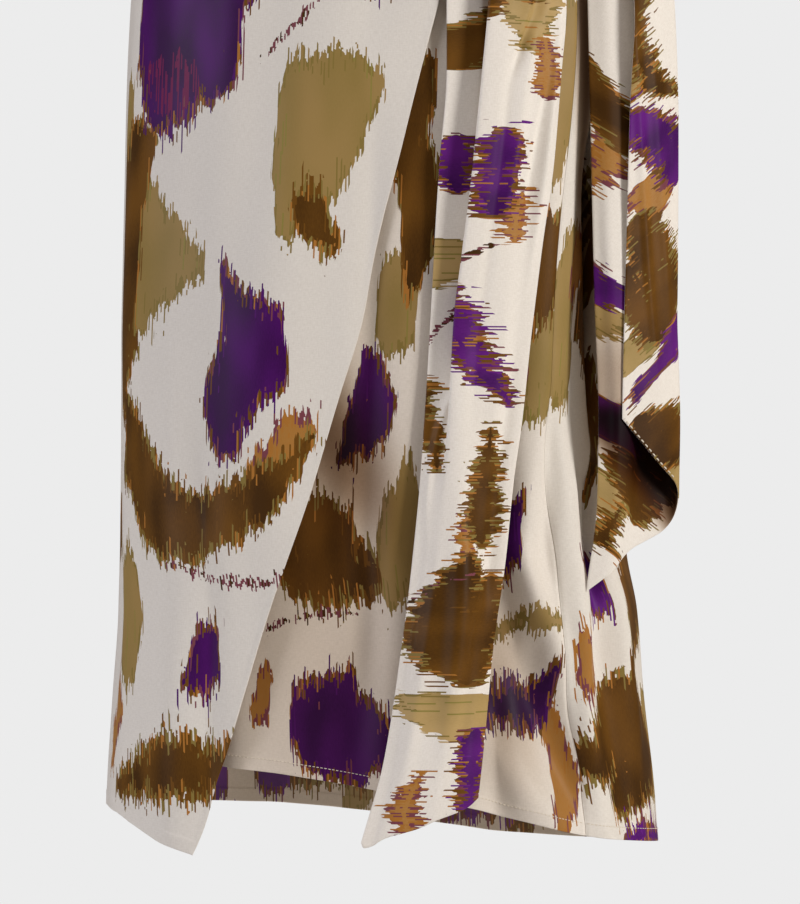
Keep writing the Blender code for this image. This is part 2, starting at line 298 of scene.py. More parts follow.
@dataclass(frozen=True)
class SkirtForm:
    """The tube round a general figure that the panels hang as, and that the tails lie on.

    Attributes:
        front_squareness: How square its front is in plan. 2 is an ellipse, and more is boxier.
        back_squareness: The same for its back.
        fold_fade: A fold grows and dies away over this length.
        fold_reach: Further aside than this many of its half widths, a fold is nothing.
        layer_top: How far the overlap lies outside the underlap, at the waist.
        layer_hem: The same at the hem, where it hangs free.
        layer_length: From the waist to where it hangs free.
        probe: How far aside, in degrees, the way out of the tube is measured.
        halvings: How often the search for an angle halves its range.
    """

    front_squareness: float = 2.45
    back_squareness: float = 2.2
    fold_fade: float = 110.0
    fold_reach: float = 3.0
    layer_top: float = 3.4
    layer_hem: float = 9.0
    layer_length: float = 800.0
    probe: float = 0.5
    halvings: int = 22

    def fold_height(self, angle: Array, down: Array) -> Array:
        """Adds up how far the tube's folds stand out.

        Args:
            angle: Each place's angle.
            down: How far down it is.

        Returns:
            The height at each place.
        """
        total = np.zeros(np.broadcast(angle, down).shape)
        for centre, half_width, height, start, end in FOLDS.rows:
            apart = np.abs((angle - centre + 180) % 360 - 180) / half_width
            grown = ramp(down, start, start + self.fold_fade) * (
                1 - ramp(down, end - self.fold_fade, end)
            )
            lift = height * np.exp(-apart * apart) * grown
            total = total + np.where(apart < self.fold_reach, lift, 0.0)
        return total

    def plan(self, angle: Array, down: Array) -> tuple[Array, Array]:
        """Works out the tube's points in plan, before anything is laid on it.

        Args:
            angle: Each point's angle.
            down: How far down it is.

        Returns:
            Each point's x, and its y.
        """
        right, left = OUTLINE.at("right_side", down), OUTLINE.at("left_side", down)
        middle, half = (left - right) / 2, (left + right) / 2
        cos, sin = np.cos(np.radians(angle)), np.sin(np.radians(angle))
        front = sin < 0
        depth = np.where(front, OUTLINE.at("front", down), OUTLINE.at("back", down))
        power = np.where(front, self.front_squareness, self.back_squareness)
        reach = ((np.abs(cos) / half) ** power + (np.abs(sin) / depth) ** power) ** (-1 / power)
        reach = reach + self.fold_height(angle, down)
        return middle + reach * cos, reach * sin

    def outward(self, angle: Array, down: Array) -> Array:
        """Works out the level unit vectors that point straight out of the tube.

        Args:
            angle: Each place's angle.
            down: How far down it is.

        Returns:
            The vectors.
        """
        ahead, behind = self.plan(angle + self.probe, down), self.plan(angle - self.probe, down)
        along_x, along_y = ahead[0] - behind[0], ahead[1] - behind[1]
        length = np.hypot(along_x, along_y)
        return np.stack([along_y / length, -along_x / length, np.zeros_like(length)], axis=-1)

    def points(self, angle: Array, down: Array, out: Array) -> tuple[Array, Array]:
        """Places points on the tube, or outside it.

        Args:
            angle: Each point's angle.
            down: How far down it is.
            out: How far straight out of the tube it is moved.

        Returns:
            The points, and the way out at each.
        """
        x, y = self.plan(angle, down)
        outward = self.outward(angle, down)
        return np.stack([x, y, -down], axis=-1) + outward * np.asarray(out)[..., None], outward

    def angle_at(self, x: Array, down: Array) -> Array:
        """Finds where the tube's front lies at a place across.

        Args:
            x: The place across, from the middle to the wearer's left.
            down: How far down it is.

        Returns:
            The angles.
        """
        low = np.full(np.broadcast(x, down).shape, 181.0)
        high = np.full_like(low, 359.0)
        for _ in range(self.halvings):
            middle = (low + high) / 2
            left_of = self.plan(middle, down)[0] < x
            low = np.where(left_of, middle, low)
            high = np.where(left_of, high, middle)
        return (low + high) / 2

    def layer_out(self, angle: Array, down: Array) -> Array:
        """How far out the overlap lies: nothing at the right side seam, full over the front."""
        grown = (self.layer_hem - self.layer_top) * ramp(down, 0, self.layer_length)
        return (self.layer_top + grown) * ramp(angle, LAYER_START, LAYER_FULL)


def taken_up(width: float, down: Array) -> Array:
    """The angle in degrees that a small width of cloth takes up on the tube's side."""
    return np.degrees(width / OUTLINE.at("left_side", down))


class EdgeLine:
    """An edge of a panel as the angle it lies at, by how far down, worked out once."""

    DOWNS = np.arange(0.0, 861.0, 3.0)

    def __init__(self, form: SkirtForm, table: Table, gap: float = 0.0) -> None:
        """Reads the edge's place from table, and moves it round by gap millimetres."""
        self.angles = form.angle_at(table.at("x", self.DOWNS), self.DOWNS)
        self.angles = self.angles + taken_up(gap, self.DOWNS)

    def __call__(self, down: Array) -> Array:
        """The edge's angle at these places down."""
        return np.interp(down, self.DOWNS, self.angles)


class Arcs:
    """How far round the tube a place lies from a line down it, measured along the cloth."""

    STEP = 10.0
    ANGLES = np.arange(150.0, 541.0, 1.0)
    DOWNS = np.arange(-20.0, 861.0, STEP)
    # The lattice is read short of its last row and column, so that each place has a next one
    SHORT = 1.001

    def __init__(self, form: SkirtForm) -> None:
        """Adds up the tube's short steps round, at each height.

        Args:
            form: The tube.
        """
        x, y = form.plan(self.ANGLES[None, :], self.DOWNS[:, None])
        steps = np.hypot(np.diff(x, axis=1), np.diff(y, axis=1))
        self.lengths = np.concatenate([np.zeros((len(self.DOWNS), 1)), np.cumsum(steps, 1)], 1)

    def _read(self, angle: Array, down: Array) -> Array:
        """Reads the length from the first angle, between the lattice's points.

        Args:
            angle: Each place's angle.
            down: How far down it is.

        Returns:
            The lengths.
        """
        a = np.clip(angle - self.ANGLES[0], 0, len(self.ANGLES) - self.SHORT)
        d = np.clip((down - self.DOWNS[0]) / self.STEP, 0, len(self.DOWNS) - self.SHORT)
        i, j = d.astype(int), a.astype(int)
        s, t = d - i, a - j
        top = self.lengths[i, j] * (1 - t) + self.lengths[i, j + 1] * t
        low = self.lengths[i + 1, j] * (1 - t) + self.lengths[i + 1, j + 1] * t
        return top * (1 - s) + low * s

    def across(self, angle: Array, down: Array, middle: float) -> Array:
        """The length round the tube from the line at the angle middle."""
        return self._read(angle, down) - self._read(np.full_like(angle, middle), down)


# ---------------- how the cloth falls


@dataclass(frozen=True)
class Crease:
    """A soft ridge along a bent line on the cloth, or a trough where its height is negative.

    Attributes:
        x: Where it starts, across.
        y: Where it starts, along.
        end_x: Where it ends, across.
        end_y: Where it ends, along.
        width: How far its side falls away, to a third of its height.
        height: How far it stands out.
        bend: How far the middle of its line bows aside.
        skew: How much steeper one side is than the other, from -1 to 1.
    """

    x: float
    y: float
    end_x: float
    end_y: float
    width: float
    height: float
    bend: float = 0.0
    skew: float = 0.0

    # Between which shares of its length it grows, and between which it dies away
    GROWS, FADES = (-0.12, 0.3), (0.7, 1.12)

    def lift(self, across: Array, along: Array) -> Array:
        """Works out how far the crease moves the cloth out.

        Args:
            across: Each point's place across.
            along: Each point's place along.

        Returns:
            The move at each point.
        """
        step = (self.end_x - self.x, self.end_y - self.y)
        length = math.hypot(*step)
        u, v = across - self.x, along - self.y
        share = (u * step[0] + v * step[1]) / length**2
        held = np.clip(share, 0, 1)
        aside = (u * step[1] - v * step[0]) / length + 4 * self.bend * held * (1 - held)
        width = self.width * (1 + self.skew * np.tanh(aside / self.width))
        grown = ramp(share, *self.GROWS) * (1 - ramp(share, *self.FADES))
        return self.height * np.exp(-((aside / width) ** 2)) * grown


@dataclass(frozen=True)
class Shadow:
    """A soft, long shadow on the cloth.

    Attributes:
        middle: Its middle, across and along.
        reach: How far it reaches onward and aside.
        lean: How far it leans from the vertical, in degrees.
        depth: How deep it is in its middle.
    """

    middle: Pair
    reach: Pair
    lean: float
    depth: float

    def at(self, across: Array, along: Array) -> Array:
        """Works out how deep the shadow is.

        Args:
            across: Each point's place across.
            along: Each point's place along.

        Returns:
            The depth at each point.
        """
        cos, sin = math.cos(math.radians(self.lean)), math.sin(math.radians(self.lean))
        u, v = across - self.middle[0], along - self.middle[1]
        onward, aside = (u * sin + v * cos) / self.reach[0], (u * cos - v * sin) / self.reach[1]
        return self.depth * np.exp(-(onward**2) - aside**2)


@dataclass(frozen=True)
class Ripple:
    """The slight unevenness of hanging silk, smooth between the points of a seeded lattice.

    Attributes:
        seed: Sets which unevenness it is.
        cell: The lattice's step, across and along.
        height: The most that it moves the cloth.
    """

    seed: int
    cell: Pair
    height: float

    SIZE = 64

    def lift(self, across: Array, along: Array) -> Array:
        """Works out how far the unevenness moves the cloth out.

        Args:
            across: Each point's place across.
            along: Each point's place along.

        Returns:
            The move at each point.
        """
        values = np.random.default_rng(self.seed).uniform(-1, 1, (self.SIZE, self.SIZE))
        u, v = across / self.cell[0], along / self.cell[1]
        i, j = np.floor(v).astype(int), np.floor(u).astype(int)
        s, t = v - i, u - j
        s, t = s * s * (3 - 2 * s), t * t * (3 - 2 * t)

        def corner(row: Array, column: Array) -> Array:
            """The lattice's value at this row and column, which repeat."""
            return values[row % self.SIZE, column % self.SIZE]

        top = corner(i, j) * (1 - t) + corner(i, j + 1) * t
        low = corner(i + 1, j) * (1 - t) + corner(i + 1, j + 1) * t
        return self.height * (top * (1 - s) + low * s)


# The panels' finer folds, as rows that make a Crease, by how far round the tube from the middle
# of its front, and down. Those that cross a side seam go on into the next panel.
UNDER_CREASES = (
    # Between the front tail and the side seam, and on into the back
    (165, 70, 185, 420, 6, -30), (173, 300, 190, 545, 9, -24),
    (160, 520, 158, 700, 12, 9, 3, -0.35), (180, 545, 173, 650, 5, -12),
    (138, 500, 132, 640, 7, -5, -2), (106, 440, 98, 640, 8, -5), (120, 540, 112, 690, 9, 4),
    (92, 630, 152, 800, 18, -11, 5), (76, 738, 150, 830, 17, 8, 4),
    (104, 600, 142, 720, 11, 8, -3), (150, 650, 160, 780, 9, 7, -3),
    (168, 640, 206, 830, 13, -6, 3), (188, 600, 218, 770, 11, 6, 3),
    (148, 720, 176, 870, 12, 6, -3),
    # Under the overlap's edge
    (-20, 500, -88, 900, 44, -10), (34, 380, -2, 900, 16, 4), (0, 560, -30, 900, 14, -2),
)
BACK_CREASES = (
    (250, 260, 238, 620, 14, 6, 5), (276, 340, 272, 760, 12, -8, -4),
    (300, 250, 312, 560, 15, 6, 3), (342, 420, 330, 860, 13, 8, 6),
    (372, 220, 364, 620, 17, -6, -5), (404, 330, 420, 800, 15, 8, 4),
    (446, 240, 430, 560, 16, -6, 5), (470, 470, 492, 870, 13, 8, -4),
    (520, 210, 510, 610, 16, 6, 4), (552, 380, 566, 800, 14, -8, 5),
    (590, 240, 584, 640, 15, 6, -4), (622, 450, 640, 880, 14, 8, 5),
    (668, 260, 656, 620, 15, -6, 4), (700, 420, 716, 860, 13, 6, -5),
    (748, 230, 742, 560, 14, 5, 4), (232, 40, 262, 190, 12, -5), (330, 36, 322, 170, 12, -5),
    (430, 34, 434, 180, 13, -5), (560, 36, 548, 180, 12, -5), (690, 40, 672, 170, 12, -5),
)
OVER_CREASES = (
    (-196, 120, -176, 760, 26, 4, 5), (-132, 60, -150, 700, 24, -3, -6),
    (-20, 150, -104, 640, 30, 3, 6), (-66, 60, -96, 420, 22, -3, 4),
    (-118, 560, -160, 840, 22, 3, 4), (-232, 300, -226, 780, 16, -4, 3),
    (20, 40, -16, 260, 16, -3, -4),
)


# ---------------- the print


class Dye(Enum):
    """The print's colours, each of which has its own patches on the cloth."""

    PURPLE = 0
    OLIVE = 1
    KHAKI = 2
    OCHRE = 3
    DASHES = 4
    BLUSH = 5


# Further from a patch than any cloth reaches
FAR = 1000.0


@dataclass(frozen=True)
class Motif:
    """A dyed shape, about 1 long: a chain of round spots, each across, along and radius."""

    spots: tuple[tuple[float, float, float], ...]


PETAL = Motif(((0.0, -0.22, 0.27), (0.03, 0.1, 0.22), (-0.02, 0.46, 0.05)))
LEAF = Motif(((-0.03, -0.5, 0.02), (0.05, -0.1, 0.13), (0.0, 0.2, 0.11), (-0.08, 0.5, 0.02)))
OVAL = Motif(((0.0, -0.2, 0.26), (0.0, 0.2, 0.28)))
CRESCENT = Motif(
    (
        (-0.5, -0.22, 0.05), (-0.34, 0.08, 0.12), (0.0, 0.22, 0.17), (0.34, 0.06, 0.13),
        (0.5, -0.26, 0.04),
    )
)
TRUNK = Motif(
    ((0.1, -0.5, 0.09), (-0.02, -0.2, 0.15), (0.05, 0.12, 0.17), (-0.06, 0.48, 0.08))
)
BAR = Motif(((-0.45, 0.06, 0.12), (0.0, -0.02, 0.19), (0.45, 0.05, 0.13)))
CLOUD = Motif(((-0.3, 0.12, 0.2), (0.0, -0.16, 0.27), (0.24, 0.1, 0.24), (-0.04, 0.3, 0.2)))
HOOK = Motif(
    (
        (-0.3, -0.5, 0.06), (-0.26, -0.05, 0.1), (-0.1, 0.28, 0.13), (0.2, 0.32, 0.12),
        (0.34, 0.08, 0.06),
    )
)
TWIG = Motif(((-0.5, 0.2, 0.012), (-0.1, 0.05, 0.02), (0.2, -0.12, 0.02), (0.5, -0.4, 0.012)))


@dataclass(frozen=True)
class Patch:
    """One motif in one dye on the flat cloth.

    Attributes:
        dye: Its colour.
        motif: Its shape.
        x: Its middle's place across.
        y: Its middle's place along.
        size: Its length.
        turn: How far it is turned, in degrees.
        slim: How wide it is for its length, against the motif's own width.
    """

    dye: Dye
    motif: Motif
    x: float
    y: float
    size: float
    turn: float = 0.0
    slim: float = 1.0

    def distance(self, across: Array, along: Array) -> Array:
        """Measures how far outside the patch each point lies.

        Args:
            across: Each point's place across.
            along: Each point's place along.

        Returns:
            The distances, less than 0 inside the patch.
        """
        cos, sin = math.cos(math.radians(self.turn)), math.sin(math.radians(self.turn))
        u, v = across - self.x, along - self.y
        u, v = (u * cos + v * sin) / (self.size * self.slim), (v * cos - u * sin) / self.size
        nearest = np.full(np.broadcast(u, v).shape, FAR)
        for (a, b, r), (c, d, s) in zip(self.motif.spots, self.motif.spots[1:]):
            step = (c - a, d - b)
            share = ((u - a) * step[0] + (v - b) * step[1]) / (step[0] ** 2 + step[1] ** 2)
            share = np.clip(share, 0, 1)
            apart = np.hypot(u - a - share * step[0], v - b - share * step[1])
            nearest = np.minimum(nearest, apart - (r + (s - r) * share))
        return nearest * self.size * math.sqrt(self.slim)


P, O, K, C, D, B = Dye.PURPLE, Dye.OLIVE, Dye.KHAKI, Dye.OCHRE, Dye.DASHES, Dye.BLUSH

# How far a strewn spray is moved and leans at most, and how long it is, against the lattice's
# step or in degrees
SHAKE, LEAN = 0.16, 16
SPRAY_SIZE = (0.78, 1.0)

# Motifs that lie together, each as its dye, its motif, its place, size, turn and slimness.
# A spray is about 1 long.
SPRAYS = (
    (
        (P, PETAL, 0.0, 0.0, 1.0, 8, 1.2),
        (P, OVAL, 0.28, -0.2, 0.5, 30, 0.9),
        (B, OVAL, 0.02, 0.1, 0.45, 0, 1.0),
        (K, LEAF, 0.42, 0.3, 0.7, 4, 1.6),
        (C, OVAL, -0.36, -0.22, 0.32, 0, 0.8),
    ),
    (
        (O, TRUNK, 0.0, -0.1, 1.2, 6, 1.1),
        (O, CRESCENT, -0.1, 0.5, 0.9, 12, 0.9),
        (K, LEAF, 0.26, 0.1, 1.0, -4, 1.5),
        (P, LEAF, -0.3, -0.3, 0.8, -10, 1.3),
    ),
    (
        (K, PETAL, 0.0, 0.0, 0.8, 180, 1.1),
        (O, OVAL, 0.1, 0.34, 0.36, 0, 0.9),
        (C, LEAF, -0.34, 0.2, 0.5, 4, 1.4),
        (D, TWIG, 0.34, -0.5, 0.8, 20, 1.0),
    ),
    (
        (O, CLOUD, 0.0, 0.0, 0.8, 10, 1.1),
        (P, OVAL, 0.38, 0.2, 0.45, 4, 0.8),
        (C, OVAL, -0.3, -0.36, 0.3, 0, 0.8),
        (K, BAR, 0.1, -0.44, 0.6, 6, 1.0),
    ),
)


def strewn(seed: int, across: Pair, along: Pair, step: float) -> tuple[tuple, ...]:
    """Strews sprays over a stretch of cloth, on a lattice shaken so that it doesn't show.

    Args:
        seed: Sets which spray is where, and how it is turned.
        across: The stretch, from its left to its right.
        along: The stretch, from its top to its end.
        step: From one spray to the next.

    Returns:
        The sprays' patches, each as a row that makes a Patch.
    """
    chance = np.random.default_rng(seed)
    patches = []
    for row, v in enumerate(np.arange(along[0], along[1], step)):
        for column, u in enumerate(np.arange(across[0] + (row % 2) * step / 2, across[1], step)):
            shift = chance.uniform(-SHAKE, SHAKE, 2) * step
            size = step * chance.uniform(*SPRAY_SIZE)
            lean = chance.uniform(-LEAN, LEAN)
            side = chance.choice((-1, 1))
            for dye, motif, x, y, length, turn, slim in SPRAYS[(column + row * 2) % len(SPRAYS)]:
                place = u + shift[0] + side * x * size, v + shift[1] + y * size
                patches.append((dye, motif, *place, length * size, side * turn + lean, slim))
    return tuple(patches)


@dataclass(frozen=True)
class WarpPrint:
    """A warp ikat: patches of dye whose ends run along the threads further than their sides.

    Attributes:
        rows: The patches on this piece of cloth, each as a row that makes a Patch.
        seed: Sets how their outlines wander.
        pull: How many times further a thread slips along itself than a patch spreads aside.
        wander: The most that an outline wanders.
        drift: The most that a patch is pulled out of shape, so that no two look alike.
        reach: Further than this from a patch, its distance isn't told apart.
    """

    rows: tuple[tuple, ...]
    seed: int = 1
    pull: float = 4.6
    wander: float = 4.5
    drift: float = 17.0
    reach: float = 30.0

    # The lattices of the drift and of the outlines' wandering, across and along, and how much
    # of the wandering each of those has
    DRIFT_CELL = (62.0, 88.0)
    WANDERINGS = (((34.0, 44.2), 1.0), ((13.0, 16.9), 0.45))
    # A line of dashes is thin, so it wanders only this share
    DASHES_WANDER = 0.3
    # How far along a point the outline's direction is measured
    PROBE = 2.0

    def _plain(self, dye: Dye, across: Array, along: Array) -> Array:
        """Measures the distance to a dye's nearest patch, with its outline wandering.

        Args:
            dye: The dye.
            across: Each point's place across.
            along: Each point's place along.

        Returns:
            The distances.
        """
        nearest = np.full(across.shape, FAR)
        aside, onward = (
            Ripple(self.seed * 5 + n, self.DRIFT_CELL, self.drift).lift(across, along)
            for n in (1, 2)
        )
        for patch in (Patch(*row) for row in self.rows):
            if patch.dye is dye:
                near = patch.distance(across + aside, along + onward)
                nearest = np.minimum(nearest, near)
        slack = self.DASHES_WANDER if dye is Dye.DASHES else 1.0
        for cell, height in self.WANDERINGS:
            ripple = Ripple(self.seed * 7 + dye.value, cell, self.wander * height)
            nearest = nearest + slack * ripple.lift(across, along)
        return nearest

    def distance(self, dye: Dye, across: Array, along: Array) -> Array:
        """Measures how far aside each point lies from a dye, counting a slip along as less.

        Args:
            dye: The dye.
            across: Each point's place across.
            along: Each point's place along.

        Returns:
            The distances, no larger than the reach.
        """
        plain = self._plain(dye, across, along)
        after = self._plain(dye, across, along + self.PROBE)
        before = self._plain(dye, across, along - self.PROBE)
        slope = np.clip((after - before) / (2 * self.PROBE), -1, 1)
        drawn = plain / np.sqrt(1 - slope**2 + (self.pull * slope) ** 2)
        return np.clip(drawn, -self.reach, self.reach)


# ---------------- finishes


def add_node(
    tree: bpy.types.NodeTree, kind: str, inputs: dict | None = None, **settings: object
) -> bpy.types.Node:
    """Adds a node, with its settings, its values and the links into it.

    Args:
        tree: The material's or world's nodes.
        kind: The node's Blender type.
        inputs: For an input's name or number, a value, or the socket that is linked to it.
        settings: The node's own properties.

    Returns:
        The new node.
    """
    made = tree.nodes.new(kind)
    for name, value in settings.items():
        setattr(made, name, value)
    for name, value in (inputs or {}).items():
        if isinstance(value, bpy.types.NodeSocket):
            tree.links.new(value, made.inputs[name])
        else:
            made.inputs[name].default_value = value
    return made


def blank_material(name: str) -> tuple[bpy.types.Material, bpy.types.NodeTree]:
    """Makes a material that has no nodes yet.

    Args:
        name: Its name.

    Returns:
        The material, and its tree of nodes.
    """
    made = bpy.data.materials.new(name)
    made.use_nodes = True
    made.node_tree.nodes.clear()
    return made, made.node_tree


MATH, VECTOR, MIX = "ShaderNodeMath", "ShaderNodeVectorMath", "ShaderNodeMix"
WHITE, NOISE = "ShaderNodeTexWhiteNoise", "ShaderNodeTexNoise"
SPLIT, JOIN, SHARES = "ShaderNodeSeparateXYZ", "ShaderNodeCombineXYZ", "ShaderNodeSeparateColor"
CHIEF_SETTING = {
    MATH: "operation",
    VECTOR: "operation",
    WHITE: "noise_dimensions",
    NOISE: "noise_dimensions",
    MIX: "data_type",
}


@dataclass(frozen=True)
class Step:
    """One node of a finish.

    Attributes:
        names: What its outputs are called, in order, with _ for one that isn't used.
        kind: The node's Blender type.
        setting: Its chief setting, such as a sum's operation.
        inputs: Numbers, colours as hex, or the names of outputs of steps before it.
    """

    names: str
    kind: str
    setting: str
    inputs: dict


def follow(tree: bpy.types.NodeTree, steps: tuple[Step, ...], known: dict) -> dict:
    """Adds the steps' nodes in order.

    Args:
        tree: The material's nodes.
        steps: The steps.
        known: The named sockets and values that the steps start from.

    Returns:
        All named sockets and values, with those of the steps.
    """
    known = dict(known)
    for step in steps:
        inputs = {}
        for name, value in step.inputs.items():
            if isinstance(value, str):
                value = linear(value) if value.startswith("#") else known[value]
            inputs[name] = value
        settings = {CHIEF_SETTING[step.kind]: step.setting} if step.setting else {}
        made = add_node(tree, step.kind, inputs, **settings)
        for name, socket in zip(step.names.split(), made.outputs):
            known[name] = socket
    return known


def per(width: float, length: float) -> tuple[float, float, float]:
    """What places in metres are multiplied by to count cells of this size in millimetres."""
    return 1 / (width * METRES), 1 / (length * METRES), 0.0


def uneven(name: str, size: Pair, detail: float) -> tuple[Step, Step]:
    """Makes two steps that give the cloth a soft unevenness.

    Args:
        name: What it is called.
        size: How large its spots are across and along the warp, in millimetres.
        detail: How much finer it gets.

    Returns:
        The steps.
    """
    return (
        Step("counted", VECTOR, "MULTIPLY", {0: "place", 1: per(*size)}),
        Step(name, NOISE, "2D", {"Vector": "counted", "Scale": 1.0, "Detail": detail}),
    )


@dataclass(frozen=True)
class PrintedSatin:
    """Mulberry silk satin, woven with the warp on its face, and printed as a warp ikat.

    The long floats of the satin weave give the face a soft, broad gloss, and its back is duller.
    The dye follows the threads, so a patch has ragged ends along the warp and clean sides.

    Attributes:
        name: The material's name.
        ground: The undyed silk. One layer lets light through to the dark inside, so it looks
        darker than a tail's two. The copies for single layers are given a darker ground for it:
        painted shade.
        shade: The undyed silk where its threads lie lower.
        gloss: The roughness of the surface.
        purple: The chief dye, and its deeper threads. Its copies for the overlap and the underlap
            are deeper: painted shade.
        khaki: The palest dye. Its copy for the tails is lighter, which is painted light, and its
            copy for the overlap is darker, which is painted shade.
        washed: How far the ground shows through the dye: not on the face, but on the back.
        shaded: Whether the cloth carries a map of the light that other layers keep off it.
        thread: How wide a bundle of threads is that takes the dye together. Single threads of
            0.1 mm are too fine to show, so the print and the weave are drawn by the bundle.
        run: About how long a bundle keeps one slip.
    """

    name: str
    ground: str = "#EAE4DA"
    shade: str = "#D3CABD"
    purple: tuple[str, str] = ("#621D7C", "#420E58")
    khaki: str = "#A08554"
    gloss: float = 0.47
    washed: float = 0.0
    shaded: bool = False
    thread: float = 1.05
    run: float = 24.0

    OLIVE, OLIVE_DEEP, OLIVE_PALE = "#6B4615", "#432908", "#83703A"
    KHAKI_GREEN, OCHRE = "#8A7E40", "#A66F30"
    MAUVE, BLUSH = "#77404A", "#6D184A"

    # Real sizes of what is uneven, across and along the warp, in millimetres: groups of bundles
    # that slip together, the slubs of the silk both ways, and drifts where the dye takes more
    GROUP, SLUB, WEFT_SLUB, DRIFT = (5.5, 42.0), (0.8, 3.5), (3.5, 0.8), (30.0, 75.0)
    # How far the dye slips, as a place's distance from its patch is counted: a bundle's own slip
    # and the least of it, a whole group's, and that of the few that slip far, with their rarity
    SLIP, SLIP_LEAST, GROUP_SLIP, FAR_SLIP, FAR_RARITY = 1.6, -0.9, 4.4, 2.6, 4.0
    # The same for a patch's middle, where nearly every thread has taken the dye
    CORE, CORE_LEAST, CORE_GAP, CORE_RARITY = 1.8, -2.3, -3.6, 6.0
    # How unevenly the dye takes: in drifts, with the drifts' start, and along a thread
    TAKEN, TAKEN_START, STREAKS = 2.4, -0.95, 0.5
    # The chances over which a rim's thread has its second, its third or its chief colour
    SECOND, THIRD, CHIEF, RARE = 0.6, 0.84, 0.78, 0.965
    # Dashes: their length in millimetres, the share that is missing, and how far they slip
    DASH, DASH_GAPS, DASH_SLIP = 4.5, 0.42, 0.4
    # What keeps neighbours' runs, dashes and second chances apart
    RUN_SHIFT, DASH_SHIFT, ELSEWHERE = 7.3, 5.1, (31.5, 17.5, 0.0)
    # The weave's relief against the slubs', and how unevenly it shines
    RIB, UNEVEN_GLOSS = 0.4, 0.1

    def _threads(self) -> tuple[Step, ...]:
        """Finds the bundles of threads, and how far the dye has slipped along each.

        Returns:
            The steps.
        """
        # Each as its name, its operation and what goes into it
        sums = (
            ("together", "MULTIPLY_ADD", "group", self.GROUP_SLIP, -self.GROUP_SLIP / 2),
            # A few bundles slip a long way, out of a patch or into it
            ("far", "POWER", "two", self.FAR_RARITY),
            ("little", "MULTIPLY_ADD", "one", self.SLIP, self.SLIP_LEAST),
            ("moved", "ADD", "little", "together"),
            ("slip", "MULTIPLY_ADD", "far", self.FAR_SLIP, "moved"),
            ("deep", "POWER", "four", self.CORE_RARITY),
            ("core_at", "MULTIPLY_ADD", "three", self.CORE, self.CORE_LEAST),
            ("core_moved", "ADD", "core_at", "together"),
            ("core", "MULTIPLY_ADD", "deep", self.CORE_GAP, "core_moved"),
            ("crossed", "ADD", "slub", "weft"),
            ("taken", "MULTIPLY_ADD", "drift", self.TAKEN, self.TAKEN_START),
            ("dyed", "MULTIPLY_ADD", "slub", self.STREAKS, "taken"),
            ("thinly", "MULTIPLY", "dyed", 0.5),
            ("five_high", "GREATER_THAN", "five", self.SECOND),
            ("six_high", "GREATER_THAN", "six", self.THIRD),
            ("one_high", "GREATER_THAN", "one", self.CHIEF),
            ("rare", "GREATER_THAN", "six", self.RARE),
        )
        return (
            Step("counted", VECTOR, "MULTIPLY", {0: "place", 1: per(self.thread, self.run)}),
            Step("u v", SPLIT, "", {0: "counted"}),
            Step("bundle", MATH, "FLOOR", {0: "u"}),
            Step("start", WHITE, "1D", {"W": "bundle"}),
            Step("run_at", MATH, "MULTIPLY_ADD", {0: "start", 1: self.RUN_SHIFT, 2: "v"}),
            Step("run", MATH, "FLOOR", {0: "run_at"}),
            Step("cell", JOIN, "", {0: "bundle", 1: "run"}),
            Step("_ chance", WHITE, "2D", {"Vector": "cell"}),
            Step("one two three", SHARES, "", {0: "chance"}),
            Step("next_cell", VECTOR, "ADD", {0: "cell", 1: self.ELSEWHERE}),
            Step("_ next_chance", WHITE, "2D", {"Vector": "next_cell"}),
            Step("four five six", SHARES, "", {0: "next_chance"}),
            *uneven("group", self.GROUP, 1.0),
            *uneven("slub", self.SLUB, 2.0),
            *uneven("weft", self.WEFT_SLUB, 2.0),
            *uneven("drift", self.DRIFT, 1.0),
            *(Step(name, MATH, kind, dict(enumerate(values))) for name, kind, *values in sums),
        )

    def _dashes(self) -> tuple[Step, ...]:
        """Finds a line of short, broken threads.

        Returns:
            The steps.
        """
        return (
            Step("dash_v", MATH, "MULTIPLY", {0: "v", 1: self.run / self.DASH}),
            Step("dash_at", MATH, "MULTIPLY_ADD", {0: "start", 1: self.DASH_SHIFT, 2: "dash_v"}),
            Step("dash_run", MATH, "FLOOR", {0: "dash_at"}),
            Step("dash_cell", JOIN, "", {0: "bundle", 1: "dash_run"}),
            Step("dash", WHITE, "2D", {"Vector": "dash_cell"}),
            Step("dashed", MATH, "GREATER_THAN", {0: "dash", 1: self.DASH_GAPS}),
            Step("dash_slip", MATH, "MULTIPLY", {0: "slip", 1: self.DASH_SLIP}),
            Step("in_dashes", MATH, "LESS_THAN", {0: "dashes_by", 1: "dash_slip"}),
            Step("drawn", MATH, "MULTIPLY", {0: "dashed", 1: "in_dashes"}),
        )

    def _dyes(self) -> tuple[Step, ...]:
        """Lays the dyed threads' colours over each other, as the patches are.

        Returns:
            The steps.
        """
        reached = tuple(
            Step(f"{part}_{dye}", MATH, "LESS_THAN", {0: f"{dye}_by", 1: by})
            for dye in ("khaki", "ochre", "olive", "purple")
            for part, by in (("rim", "slip"), ("core", "core"))
        )
        shares = (
            Step("grain", MATH, "MULTIPLY", {0: "slub", 1: 0.4}),
            Step("weave", MATH, "MULTIPLY_ADD", {0: "crossed", 1: 1.0, 2: -0.6}),
            Step("blushed", MATH, "LESS_THAN", {0: "blush_by", 1: "core_moved"}),
            Step("blushing", MATH, "MULTIPLY", {0: "blushed", 1: "five_high"}),
        )
